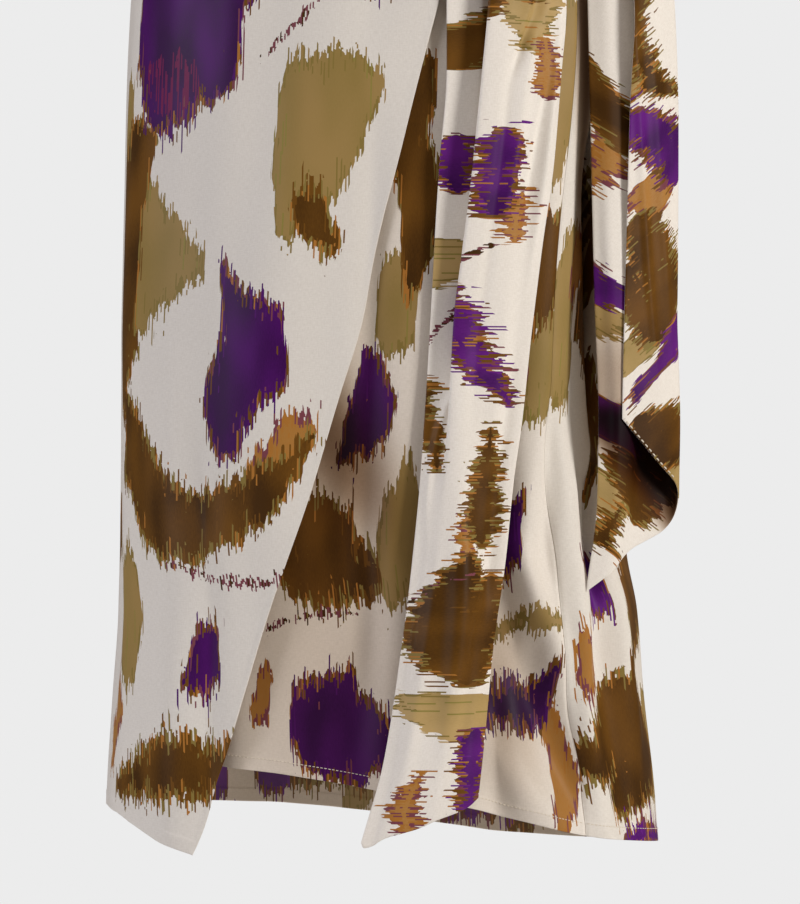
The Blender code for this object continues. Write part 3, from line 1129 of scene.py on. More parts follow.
        # Each as its name, how much of its second colour it takes, and its two colours
        mixed = (
            ("cloth", "weave", self.ground, self.shade),
            # Khaki, with greener and browner threads, and a rim of olive ones
            ("khaki", "thinly", self.khaki, self.OLIVE_PALE),
            ("khaki", "rare", "khaki", self.KHAKI_GREEN),
            ("rim", "five_high", "khaki", self.OLIVE_PALE),
            ("cloth", "rim_khaki", "cloth", "rim"),
            ("cloth", "core_khaki", "cloth", "khaki"),
            # Ochre, with mauve and brown threads in its rim
            ("rim", "five_high", self.OCHRE, self.MAUVE),
            ("ochre", "grain", self.OCHRE, self.khaki),
            ("cloth", "rim_ochre", "cloth", "rim"),
            ("cloth", "core_ochre", "cloth", "ochre"),
            # Olive brown, with paler threads in its rim
            ("rim", "five_high", self.OLIVE, self.OLIVE_PALE),
            ("rim", "six_high", "rim", self.OCHRE),
            ("olive", "dyed", self.OLIVE, self.OLIVE_DEEP),
            ("cloth", "rim_olive", "cloth", "rim"),
            ("cloth", "core_olive", "cloth", "olive"),
            # Purple: its rim is brown, mauve and ochre threads, and a few run into its middle
            ("rim", "five_high", self.OLIVE, self.MAUVE),
            ("rim", "six_high", "rim", self.OCHRE),
            ("rim", "one_high", "rim", self.purple[0]),
            ("purple", "dyed", self.purple[1], self.purple[0]),
            ("purple", "blushing", "purple", self.BLUSH),
            ("cloth", "rim_purple", "cloth", "rim"),
            ("cloth", "core_purple", "cloth", "purple"),
            # Dashes of mauve and deep olive
            ("dash_dye", "five_high", self.MAUVE, self.OLIVE_DEEP),
            ("cloth", "drawn", "cloth", "dash_dye"),
        )
        return reached + shares + tuple(
            Step(f"_ _ {name}", MIX, "RGBA", {0: share, 6: first, 7: second})
            for name, share, first, second in mixed
        )

    def build(self) -> bpy.types.Material:
        """Makes the material.

        Returns:
            The material, which reads the cloth's UV map and the maps of its dyes and its light.
        """
        made, tree = blank_material(self.name)
        known = {"place": add_node(tree, "ShaderNodeUVMap", uv_map=Cloth.UV).outputs["UV"]}
        dyes = ((Cloth.DYES, "purple olive khaki"), (Cloth.MORE, "ochre dashes blush"))
        for attribute, names in dyes:
            read = add_node(tree, "ShaderNodeAttribute", attribute_name=attribute)
            parts = add_node(tree, SPLIT, {0: read.outputs["Vector"]})
            for name, socket in zip(names.split(), parts.outputs):
                known[f"{name}_by"] = socket
        known = follow(tree, self._threads() + self._dashes() + self._dyes(), known)
        if self.washed:
            faded = Step("_ _ cloth", MIX, "RGBA", {0: self.washed, 6: "cloth", 7: self.ground})
            known = follow(tree, (faded,), known)
        if self.shaded:
            light = add_node(tree, "ShaderNodeAttribute", attribute_name=Cloth.LIGHT)
            known["light"] = light.outputs["Vector"]
            darkened = Step("cloth", VECTOR, "MULTIPLY", {0: "cloth", 1: "light"})
            known = follow(tree, (darkened,), known)
        weave = (
            Step("within", MATH, "FRACT", {0: "u"}),
            Step("half_turn", MATH, "MULTIPLY", {0: "within", 1: math.pi}),
            Step("rib", MATH, "SINE", {0: "half_turn"}),
            Step("height", MATH, "MULTIPLY_ADD", {0: "rib", 1: self.RIB, 2: "slub"}),
            Step(
                "rough", MATH, "MULTIPLY_ADD",
                {0: "slub", 1: self.UNEVEN_GLOSS, 2: self.gloss - self.UNEVEN_GLOSS / 2},
            ),
        )
        known = follow(tree, weave, known)
        bump = add_node(
            tree, "ShaderNodeBump",
            {"Height": known["height"], "Strength": 0.35, "Distance": 0.05 * METRES},
        )
        shader = add_node(
            tree, "ShaderNodeBsdfPrincipled",
            {
                "Base Color": known["cloth"],
                "Roughness": known["rough"],
                "Normal": bump.outputs[0],
                # Silk's refractive index is about 1.54. Its floats part the light, so less of
                # it comes back as a highlight than from a solid surface.
                "IOR": 1.54,
                "Specular IOR Level": 0.1,
            },
        )
        add_node(tree, "ShaderNodeOutputMaterial", {"Surface": shader.outputs[0]})
        return made


@dataclass(frozen=True)
class SpunThread:
    """Spun silk sewing thread, twisted, so that each stitch has a dull, uneven shine.

    Attributes:
        name: The material's name.
        colour: The thread.
        shade: The thread where its twist lies lower.
        gloss: The roughness of its surface.
        twist: The length of one turn of the twist.
    """

    name: str = "spun_silk_thread"
    colour: str = "#EFE6D6"
    shade: str = "#C4B69F"
    gloss: float = 0.55
    twist: float = 0.5

    def build(self) -> bpy.types.Material:
        """Makes the material, with the twist drawn as bands of a darker shade.

        Returns:
            The material.
        """
        made, tree = blank_material(self.name)
        place = add_node(tree, "ShaderNodeTexCoord").outputs["Object"]
        steps = (
            Step("bands", NOISE, "3D", {"Vector": "place", "Scale": 1 / (self.twist * METRES)}),
            Step("_ _ colour", MIX, "RGBA", {0: "bands", 6: self.colour, 7: self.shade}),
        )
        known = follow(tree, steps, {"place": place})
        bump = add_node(
            tree, "ShaderNodeBump",
            {"Height": known["bands"], "Strength": 0.4, "Distance": 0.1 * METRES},
        )
        shader = add_node(
            tree, "ShaderNodeBsdfPrincipled",
            {"Base Color": known["colour"], "Roughness": self.gloss, "Normal": bump.outputs[0]},
        )
        add_node(tree, "ShaderNodeOutputMaterial", {"Surface": shader.outputs[0]})
        return made


# ---------------- cloth


def add_object(name: str, data: bpy.types.ID) -> bpy.types.Object:
    """Adds an object to the scene.

    Args:
        name: Its name.
        data: Its mesh, light or camera.

    Returns:
        The object.
    """
    made = bpy.data.objects.new(name, data)
    bpy.context.scene.collection.objects.link(made)
    return made


@dataclass
class Lay:
    """How a piece of cloth lies: a grid of points from its top left to its bottom right.

    Attributes:
        points: The points on its outer face, or on its middle for a tail.
        outward: The unit vectors that point out of it.
        across: Each point's place across the flat cloth.
        along: Each point's place along the flat cloth.
        wall: How thick it is at each point.
        centred: Whether the points are on its middle and not on its outer face.
    """

    points: Array
    outward: Array
    across: Array
    along: Array
    wall: Array
    centred: bool = False

    def faces(self) -> tuple[Array, Array]:
        """Finds its two faces.

        Returns:
            The points of its outer face, and of its inner face.
        """
        wall = self.wall[..., None] * self.outward
        if self.centred:
            return self.points + wall / 2, self.points - wall / 2
        return self.points, self.points - wall

    def measured(self, axis: int) -> Array:
        """Measures the length of cloth to each point.

        Args:
            axis: Whether from the first row (0) or from the first column (1).

        Returns:
            The lengths.
        """
        steps = np.linalg.norm(np.diff(self.points, axis=axis), axis=-1)
        start = np.zeros_like(np.take(steps, [0], axis=axis))
        return np.concatenate([start, np.cumsum(steps, axis=axis)], axis=axis)


@dataclass
class Cloth:
    """A piece of cloth made as one closed thin shell, printed on its face and its back.

    Attributes:
        form: The tube that it hangs on.
        arcs: Lengths round that tube.
        face: The finish of its outer face.
        reverse: The finish of its inner face.
        name: The piece's name.
        node: The solid that it stands for.
        slot: The name of a material slot, which is not used.
        held: How it is held, which is not used.
        flat: The finished size of the flat cloth, in metres, which is not used.
        area: The flat cloth's area, in square metres, which is not used.
        columns: How many even steps it has across.
        rows: How many even steps it has down.
        width: About how wide it is.
        length: About how long it is, down.
        rests_on: The pieces that it hangs from.
        face_print: The print on its face.
        reverse_print: The print on its back, where that is another.
        creases: Its creases, each as a row that makes a Crease.
        ripples: Its unevenness.
    """

    form: SkirtForm
    arcs: Arcs
    face: bpy.types.Material
    reverse: bpy.types.Material

    UV = "cloth"
    BAKE_UV = "OFBake"
    DYES = "dyes"
    MORE = "more_dyes"
    LIGHT = "light"
    # How fast red, green and blue fade with the depth of a shadow among the layers
    WARMTH = (1.0, 1.3, 1.6)
    # Edges that bend more than this stay sharp, in degrees
    SHARP = 55.0
    # The map for baking: its margin, a face's width and height, where the inner face starts,
    # and the width of the thin sides
    MARGIN, WIDE, HIGH, INNER_START, SIDE = 0.005, 0.485, 0.99, 0.51, 0.002

    name: str = "cloth"
    node: str = "cloth"
    slot: str = "printed_silk"
    held: str = "hung"
    flat: Pair = (1.0, 1.0)
    area: float = 1.0
    columns: int = 100
    rows: int = 250
    width: float = 120.0
    length: float = 790.0
    rests_on: tuple[str, ...] = ("waistband_satin",)
    face_print: WarpPrint = WarpPrint(())
    reverse_print: WarpPrint | None = None
    creases: tuple[tuple, ...] = ()
    ripples: tuple[Ripple, ...] = (Ripple(21, (46.0, 130.0), 1.1), Ripple(22, (17.0, 52.0), 0.35))

    def lay(self) -> Lay:
        """Works out how the piece lies. Each piece has its own."""
        raise NotImplementedError

    def fallen(self, lay: Lay, across: Array, down: Array, room: Array) -> None:
        """Moves the cloth by its creases and its unevenness.

        Args:
            lay: How the piece lies, which this changes.
            across: Each point's place across, as the creases count it.
            down: Each point's place down.
            room: The share of each move that there is room for.
        """
        lift = np.zeros(across.shape)
        for part in (*(Crease(*row) for row in self.creases), *self.ripples):
            lift += part.lift(across, down)
        lay.points = lay.points + lay.outward * (lift * room)[..., None]

    def make(self, lay: Lay) -> bpy.types.Object:
        """Args:
            lay: How the piece lies.

        Returns:
            The piece.
        """
        rows, columns = lay.across.shape
        outer, inner = lay.faces()
        points = np.concatenate([outer.reshape(-1, 3), inner.reshape(-1, 3)]) * METRES
        count = rows * columns
        index = np.arange(count).reshape(rows, columns)
        a, b = index[:-1, :-1], index[:-1, 1:]
        c, d = index[1:, 1:], index[1:, :-1]
        front = np.stack([a, d, c, b], axis=-1).reshape(-1, 4)
        back = np.stack([a, b, c, d], axis=-1).reshape(-1, 4) + count
        rim = np.concatenate([index[0, :-1], index[:-1, -1], index[-1, :0:-1], index[:0:-1, 0]])
        ahead = np.roll(rim, -1)
        sides = np.stack([rim, ahead, ahead + count, rim + count], axis=-1)
        faces = np.concatenate([front, back, sides])

        mesh = bpy.data.meshes.new(self.name)
        mesh.vertices.add(len(points))
        mesh.vertices.foreach_set("co", points.ravel())
        mesh.loops.add(faces.size)
        mesh.loops.foreach_set("vertex_index", faces.ravel().astype(np.int32))
        mesh.polygons.add(len(faces))
        mesh.polygons.foreach_set("loop_start", np.arange(0, faces.size, 4, dtype=np.int32))
        mesh.materials.append(self.face)
        mesh.materials.append(self.reverse)
        wears = np.zeros(len(faces), dtype=np.int32)
        wears[len(front) : len(front) + len(back)] = 1
        mesh.polygons.foreach_set("material_index", wears)
        mesh.update(calc_edges=True)
        mesh.shade_smooth()
        mesh.set_sharp_from_angle(angle=math.radians(self.SHARP))
        self._write_maps(mesh, lay, faces, len(front))
        mesh.validate()

        piece = add_object(self.name, mesh)
        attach(piece, BODY)
        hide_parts(self.node)
        log.info("%s: %d faces, %.3f square metres", self.name, len(faces), self.spread(lay))
        return piece

    def _write_maps(self, mesh: bpy.types.Mesh, lay: Lay, faces: Array, front: int) -> None:
        """Writes the cloth's UV map, a map for baking, and the maps of its dyes and its light.

        Args:
            mesh: The piece's mesh.
            lay: How the piece lies.
            faces: The mesh's faces, first the outer ones, then the inner ones, then the sides.
            front: How many of them are on the outer face.
        """
        place = np.stack([lay.across, lay.along], axis=-1).reshape(-1, 2) * METRES
        both = np.concatenate([place, place])
        layer = mesh.uv_layers.new(name=self.UV)
        layer.uv.foreach_set("vector", both[faces.ravel()].astype(np.float32).ravel())

        wide, high = lay.measured(1), lay.measured(0)
        s = self.WIDE * (wide / wide[:, -1:]).reshape(-1)
        t = self.MARGIN + self.HIGH * (1 - (high / high.max()).reshape(-1))
        outer = np.stack([self.MARGIN + s, t], axis=-1)
        inner = np.stack([self.INNER_START + s, t], axis=-1)
        baked = np.concatenate([outer, inner])[faces.ravel()].reshape(-1, 4, 2)
        rims = baked[2 * front :]
        rims[:, 2] = rims[:, 1]
        rims[:, 3] = rims[:, 0]
        middle = np.array([self.MARGIN + self.WIDE / 2, 0.5])
        rims[:, 2:] += np.sign(rims[:, 2:] - middle) * self.SIDE
        layer = mesh.uv_layers.new(name=self.BAKE_UV)
        layer.uv.foreach_set("vector", baked.astype(np.float32).ravel())
        mesh.uv_layers.active = mesh.uv_layers[self.UV]
        mesh.uv_layers[self.UV].active_render = True

        sides = [
            [side.distance(dye, lay.across, lay.along).reshape(-1) for dye in Dye]
            for side in (self.face_print, self.reverse_print)
            if side
        ]
        together = np.concatenate([sides[0], sides[-1]], axis=1)
        for name, of in ((self.DYES, together[:3]), (self.MORE, together[3:])):
            values = mesh.attributes.new(name, "FLOAT_VECTOR", "POINT")
            values.data.foreach_set("vector", of.T.astype(np.float32).ravel())

        depths = self.shadow(lay)
        if depths is not None:
            light = np.exp(-np.outer(depths.ravel(), self.WARMTH))
            values = mesh.attributes.new(self.LIGHT, "FLOAT_VECTOR", "POINT")
            values.data.foreach_set("vector", light.astype(np.float32).ravel())

    def shadow(self, lay: Lay) -> Array | None:
        """The depths of other layers' shadows at the points of both sides, if it has any."""
        return None

    @staticmethod
    def spread(lay: Lay) -> float:
        """Measures the area of one layer of the cloth as it lies.

        Args:
            lay: How the cloth lies.

        Returns:
            The area in square metres.
        """
        p = lay.points
        one = np.cross(p[1:, 1:] - p[:-1, :-1], p[1:, :-1] - p[:-1, 1:])
        return float(np.linalg.norm(one, axis=-1).sum()) / 2 * METRES**2


# ---------------- hems and seams


# How far a hem's inner edge slopes, before its depth and past it
HEM_SLOPE = (0.4, 0.8)


def turned(distance: Array, depth: float) -> Array:
    """1 in a hem of this depth, and 0 past its inner edge."""
    return 1 - ramp(distance, depth - HEM_SLOPE[0], depth + HEM_SLOPE[1])


def rounded(distance: Array, radius: float) -> Array:
    """A share from 0 at a cut edge to 1 a radius inside it, round as a folded edge is."""
    t = np.clip(distance / radius, 0, 1)
    return np.sqrt(1 - (1 - t) ** 2)


@dataclass
class Panel(Cloth):
    """A panel of the tube, from one edge to the other and from the waistband to its hem.

    Attributes:
        middle: The angle from which its print is measured.
        first_steps: The finer steps at its first edge.
        last_steps: The finer steps at its last edge.
        narrow_hems: Whether its first and its last edge are hemmed.
        smooth_edges: Whether its creases stop short of its first and its last edge.
        hem_depth: How deep its hem is.
        edge_depth: How deep a hemmed edge is turned in.
        shadows: What other layers shade on its face.
    """

    middle: float = FRONT_MIDDLE
    first_steps: tuple[float, ...] = EDGE_STEPS
    last_steps: tuple[float, ...] = EDGE_STEPS
    narrow_hems: tuple[bool, bool] = (False, False)
    smooth_edges: tuple[bool, bool] = (False, False)
    hem_depth: float = 10.0
    edge_depth: float = 3.0
    shadows: tuple[Shadow, ...] = ()

    # The passes that settle where a slanting edge and the hem meet
    PASSES = 6
    # How far from the waistband, or from a smooth edge, a crease has its full height
    TOP_ROOM, EDGE_ROOM = 60.0, 16.0
    # How far a seam is sunk, and how wide
    SUNK, SUNK_WIDTH = 0.7, 2.2
    # How far a hem stands out, the radius of its edge, how far the edge falls back, and the
    # share of the wall that is left there
    HEM_RISE, EDGE_RADIUS, EDGE_FALL, EDGE_WALL = 0.3, 0.8, 0.4, 0.3
    PUCKER = Ripple(91, (7.0, 7.0), 0.12)

    def first(self, down: Array) -> Array:
        """The angle of the panel's first edge, at these places down."""
        raise NotImplementedError

    def last(self, down: Array) -> Array:
        """The angle of the panel's last edge, at these places down."""
        raise NotImplementedError

    def hem(self, angle: Array) -> Array:
        """How far down the panel's hem is at these angles."""
        return TUBE_HEM.at("down", angle)

    def out(self, angle: Array, down: Array) -> Array:
        """How far outside the tube the panel lies."""
        return np.zeros(angle.shape)

    def shadow(self, lay: Lay) -> Array | None:
        """Adds up the shadows on its face.

        Args:
            lay: How the piece lies.

        Returns:
            The depths at the points of both sides, or None where it has no shadow.
        """
        if not self.shadows:
            return None
        depth = sum(part.at(lay.across, lay.along) for part in self.shadows)
        return np.stack([depth, np.zeros(depth.shape)])

    def lay(self) -> Lay:
        """Lays the panel on the tube, hangs its creases on it and turns its hems.

        Returns:
            How the panel lies.
        """
        top = BAND_BOTTOM + SEAM_GAP
        share = spaced(self.columns, self.width, self.first_steps, self.last_steps)[None, :]
        fall = spaced(self.rows, self.length, EDGE_STEPS, HEM_STEPS)[:, None]
        down = np.full((fall.size, share.size), top)
        angle = down
        for _ in range(self.PASSES):
            angle = self.first(down) + share * (self.last(down) - self.first(down))
            down = top + (self.hem(angle) - top) * fall
        points, outward = self.form.points(angle, down, self.out(angle, down))
        across = self.arcs.across(angle, down, self.middle)
        lay = Lay(points, outward, across, down.copy(), np.full(down.shape, SATIN))
        to_first = lay.measured(1)
        to_last = to_first[:, -1:] - to_first
        from_top = lay.measured(0)
        to_hem = from_top[-1:] - from_top
        round_by = self.arcs.across(angle, down, FRONT_MIDDLE)
        room = ramp(from_top, 0.0, self.TOP_ROOM)
        for smooth, distance in zip(self.smooth_edges, (to_first, to_last)):
            if smooth:
                room = room * ramp(distance, 0.0, self.EDGE_ROOM)
        self.fallen(lay, round_by, down, room)
        self.finish_edges(lay, to_first, to_last, from_top, to_hem)
        return lay

    def finish_edges(
        self, lay: Lay, to_first: Array, to_last: Array, from_top: Array, to_hem: Array
    ) -> None:
        """Turns the hems up and sinks the seams.

        Args:
            lay: How the panel lies, which this changes.
            to_first: The distance from each point to the first edge.
            to_last: The distance to the last edge.
            from_top: The distance to the waistband.
            to_hem: The distance to the hem.
        """
        pucker = self.PUCKER.lift(lay.across, lay.along)
        hems = turned(to_hem, self.hem_depth)
        rim = rounded(to_hem, self.EDGE_RADIUS)
        sunk = self.SUNK * (1 - ramp(from_top, 0.0, self.SUNK_WIDTH))
        for hemmed, distance in zip(self.narrow_hems, (to_first, to_last)):
            if hemmed:
                hems = np.maximum(hems, turned(distance, self.edge_depth))
                rim = np.minimum(rim, rounded(distance, self.EDGE_RADIUS))
            else:
                sunk = np.maximum(sunk, self.SUNK * (1 - ramp(distance, 0.0, self.SUNK_WIDTH)))
        wall = SATIN + (HEM - SATIN) * hems
        lift = hems * (self.HEM_RISE + pucker) - sunk - (1 - rim) * self.EDGE_FALL
        lay.points = lay.points + lay.outward * lift[..., None]
        lay.wall = wall * (self.EDGE_WALL + (1 - self.EDGE_WALL) * rim)


@dataclass
class FrontOverlap(Panel):
    """The front that shows: from the right side seam to its free, slanting edge."""

    name: str = "overlap_satin"
    creases: tuple[tuple, ...] = OVER_CREASES
    node: str = "front_overlap"
    columns: int = 104
    width: float = 250.0
    length: float = 800.0
    narrow_hems: tuple[bool, bool] = (False, True)
    smooth_edges: tuple[bool, bool] = (True, False)
    flat: Pair = (0.41, 0.83)
    area: float = 0.232
    face_print: WarpPrint = WarpPrint(
        (
            (P, PETAL, -152, 245, 140, 8, 1.15), (P, OVAL, -118, 215, 70, 30, 0.9),
            (B, OVAL, -150, 275, 62), (K, OVAL, -205, 300, 80, 4, 0.7),
            (O, TRUNK, -206, 415, 190, 4, 0.9), (K, LEAF, -178, 405, 110, 8, 1.6),
            (O, CRESCENT, -140, 560, 170, 14, 0.9), (C, OVAL, -72, 545, 62, 20),
            (P, LEAF, -104, 466, 138, -12, 1.3), (K, PETAL, -54, 322, 124, 12, 0.95),
            (O, OVAL, -46, 366, 60, -8, 0.8), (K, OVAL, -196, 664, 92, 6, 0.8),
            (O, LEAF, -246, 560, 110, 4, 1.3), (C, LEAF, -226, 735, 70, 8, 1.4),
            (O, BAR, -156, 770, 120, -10, 0.95), (P, OVAL, -132, 700, 66, 0, 0.8),
            (D, TWIG, -100, 640, 100, 34), (D, TWIG, -62, 232, 90, -24),
            (P, CLOUD, -10, 150, 120, -20), (O, BAR, -150, 100, 120, 6),
            (C, PETAL, -60, 60, 80, 170),
        ),
        seed=3,
    )

    def __post_init__(self) -> None:
        """Works out where its slanting edge lies."""
        self.edge = EdgeLine(self.form, OVERLAP_EDGE)

    def first(self, down: Array) -> Array:
        """The right side seam."""
        return RIGHT_SEAM + taken_up(SEAM_BACK, down)

    def last(self, down: Array) -> Array:
        """The free, slanting edge."""
        return self.edge(down)

    def hem(self, angle: Array) -> Array:
        """The overlap's own hem, which falls to a point at its free edge."""
        return OVERLAP_HEM.at("down", angle)

    def out(self, angle: Array, down: Array) -> Array:
        """The overlap lies outside the underlap."""
        return self.form.layer_out(angle, down)


@dataclass
class FrontUnderlap(Panel):
    """The front beneath: from its hidden edge to the left side seam."""

    name: str = "underlap_satin"
    creases: tuple[tuple, ...] = UNDER_CREASES
    node: str = "front_underlap"
    columns: int = 96
    width: float = 350.0
    last_steps: tuple[float, ...] = EDGE_STEPS + (1.6,) * 34
    length: float = 770.0
    narrow_hems: tuple[bool, bool] = (True, False)
    flat: Pair = (0.35, 0.81)
    area: float = 0.218
    face_print: WarpPrint = WarpPrint(
        (
            (O, TRUNK, 28, 330, 150, -6, 0.9), (K, OVAL, 14, 420, 84, 6, 0.8),
            (C, OVAL, 30, 262, 54), (P, LEAF, -8, 505, 96, 8, 1.3), (O, CLOUD, -26, 612, 92, 10),
            (K, LEAF, 24, 604, 104, 4, 1.3), (P, PETAL, -26, 736, 98, 172, 1.1),
            (C, OVAL, -82, 712, 50, 12, 0.8), (D, TWIG, -60, 668, 80, 20),
            (K, LEAF, 121, 260, 190, 1, 1.4), (O, LEAF, 108, 396, 150, -4, 1.3),
            (K, CLOUD, 122, 486, 96, 20, 0.9), (C, OVAL, 96, 500, 44, 0, 0.7),
            (P, OVAL, 110, 604, 62, 6, 0.75), (P, HOOK, 98, 706, 104, -8),
            (K, BAR, 126, 672, 50, 0, 1.2), (C, LEAF, 132, 770, 76, 0, 1.4),
            (P, CLOUD, 60, 130, 120, 0), (O, BAR, 120, 90, 100, 5),
        ),
        seed=5,
    )
    # Under the overlap's edge, in the fold beside it, and beside the front tail
    shadows: tuple[Shadow, ...] = (
        Shadow((-60, 600), (600, 110), 0, 0.19),
        Shadow((-20, 700), (100, 70), 0, 0.16),
        Shadow((-24, 535), (59, 25), 28, 1.35),
        Shadow((92, 712), (70, 26), 8, 0.5),
    )

    # Between which places down its hidden edge slants
    SLANT = (20, 780)

    def __post_init__(self) -> None:
        """Works out where its side seam lies."""
        self.seam = EdgeLine(self.form, LEFT_SEAM, -SEAM_BACK)

    def first(self, down: Array) -> Array:
        """The hidden edge, which slants back toward the hem."""
        return HIDDEN_EDGE_TOP + (HIDDEN_EDGE_HEM - HIDDEN_EDGE_TOP) * ramp(down, *self.SLANT)

    def last(self, down: Array) -> Array:
        """The left side seam."""
        return self.seam(down)


@dataclass
class Back(Panel):
    """The back, from one side seam to the other."""

    name: str = "back_satin"
    creases: tuple[tuple, ...] = UNDER_CREASES + BACK_CREASES
    node: str = "back"
    columns: int = 124
    rows: int = 224
    width: float = 540.0
    first_steps: tuple[float, ...] = EDGE_STEPS + (1.5,) * 34
    length: float = 800.0
    smooth_edges: tuple[bool, bool] = (False, True)
    middle: float = 450.0
    flat: Pair = (0.66, 0.83)
    area: float = 0.51
    face_print: WarpPrint = WarpPrint(
        (
            # The slim olive leaves down the gap between the tails are print, laid there also so
            # that the gap's painted shadow reads darker.
            (O, LEAF, -350, 400, 220, -5, 0.36), (O, LEAF, -342, 492, 150, -4, 0.4),
            (K, OVAL, -378, 440, 150, 0, 0.45), (C, OVAL, -364, 396, 40, 0, 0.6),
            (O, LEAF, -306, 640, 130, 4, 1.5), (O, CLOUD, -344, 752, 112, 12),
            (P, OVAL, -352, 632, 60, 0, 0.7), (C, OVAL, -376, 690, 46, 0, 0.8),
            (K, OVAL, -292, 756, 76, 0, 0.8), (P, BAR, -330, 816, 70, 0, 0.9),
            (P, PETAL, -262, 180, 130, 4, 1.1), (O, TRUNK, -250, 480, 170, 6),
            (K, PETAL, -286, 340, 110, 10),
            *strewn(31, (-190, 260), (70, 830), 138.0),
            # What shows of its inside, above the hems
            (P, BAR, -74, 812, 84, 4), (O, BAR, -112, 806, 60, -4),
            (K, OVAL, 22, 806, 44, 0, 0.9),
        ),
        seed=8,
        drift=9.0,
    )
    # In the gap between the tails
    shadows: tuple[Shadow, ...] = (
        Shadow((-372, 250), (110, 8), 3, 1.7),
        Shadow((-345, 420), (110, 14), 2, 0.8),
    )

    def __post_init__(self) -> None:
        """Works out where its left side seam lies."""
        self.seam = EdgeLine(self.form, LEFT_SEAM, SEAM_BACK)

    def first(self, down: Array) -> Array:
        """The left side seam."""
        return self.seam(down)

    def last(self, down: Array) -> Array:
        """The right side seam."""
        return RIGHT_SEAM + 360 - taken_up(SEAM_BACK, down)


@dataclass
class Waistband(Cloth):
    """One folded and stiffened strip, a turn and a third round the waist."""

    name: str = "waistband_satin"
    node: str = "waistband"
    slot: str = "waistband_silk"
    held: str = "folded"
    flat: Pair = (0.945, 0.04)
    area: float = 0.0378
    rests_on: tuple[str, ...] = ()
    columns: int = 300
    rows: int = 16
    width: float = 820.0
    face_print: WarpPrint = WarpPrint(
        (
            (O, OVAL, -230, 0, 90, 0, 1.2), (P, OVAL, -60, 10, 80, 0, 1.4),
            (K, BAR, 60, -5, 90),
            (O, TRUNK, 330, 0, 110), (P, PETAL, 480, 5, 100, 10, 1.3),
            (C, OVAL, 590, 0, 70),
        ),
        seed=11,
    )

    # How far from its inner end the middle of its print lies
    PRINT_MIDDLE = 250.0
    # The radius of its folded edges, and the share of the wall that is left there
    SOFT_EDGE, EDGE_WALL = 1.6, 0.12

    def lay(self) -> Lay:
        """Lays the band round the waist, its outer end over its inner one.

        Returns:
            How the band lies.
        """
        end = float(self.form.angle_at(np.array(BAND_END_X), np.array(0.0))) + 360
        share = spaced(self.columns, self.width, EDGE_STEPS, EDGE_STEPS)
        angle = HIDDEN_EDGE_TOP + (end - HIDDEN_EDGE_TOP) * share
        height = BAND_BOTTOM - BAND_TOP
        down = BAND_TOP + height * spaced(self.rows, height, EDGE_STEPS, EDGE_STEPS)
        angle, down = np.meshgrid(angle, down)
        lift = self.form.layer_top * ramp(angle, LAYER_START + 360, LAYER_FULL + 360)
        points, outward = self.form.points(angle, down, lift - BAND_WALL / 2)
        lay = Lay(points, outward, angle, down, np.full(down.shape, BAND_WALL), centred=True)
        to_end = lay.measured(1)
        lay.across = to_end - self.PRINT_MIDDLE
        edge = np.minimum(down - BAND_TOP, BAND_BOTTOM - down)
        edge = np.minimum(edge, np.minimum(to_end, to_end[:, -1:] - to_end))
        round_edge = rounded(edge, self.SOFT_EDGE)
        lay.wall = BAND_WALL * (self.EDGE_WALL + (1 - self.EDGE_WALL) * round_edge)
        return lay


def curve_through(stations: list[Array], share: Array) -> Array:
    """Points a share of the way, station by station, along smooth curves through them.

    Args:
        stations: The curves' points, each an array that ends in x and y.
        share: The share of the way for each curve.

    Returns:
        The points, as an array that ends in x and y.
    """
    shape = (*share.shape, 2)
    placed = np.stack([np.broadcast_to(s, shape) for s in stations])
    last = len(stations) - 1
    first = 2 * placed[0] - placed[1]
    final = 2 * placed[-1] - placed[-2]
    padded = np.concatenate([first[None], placed, final[None]])
    i = np.minimum((share * last).astype(int), last - 1)
    t = (share * last - i)[..., None]
    picked = i[None, ..., None]
    a, b, c, d = (np.take_along_axis(padded, picked + step, axis=0)[0] for step in range(4))
    return 0.5 * (
        2 * b
        + (c - a) * t
        + (2 * a - 5 * b + 4 * c - d) * t**2
        + (3 * b - a - 3 * c + d) * t**3
    )


def stack(x: Array, y: Array) -> Array:
    """Two coordinates as one array of points."""
    return np.stack(np.broadcast_arrays(x, y), axis=-1)


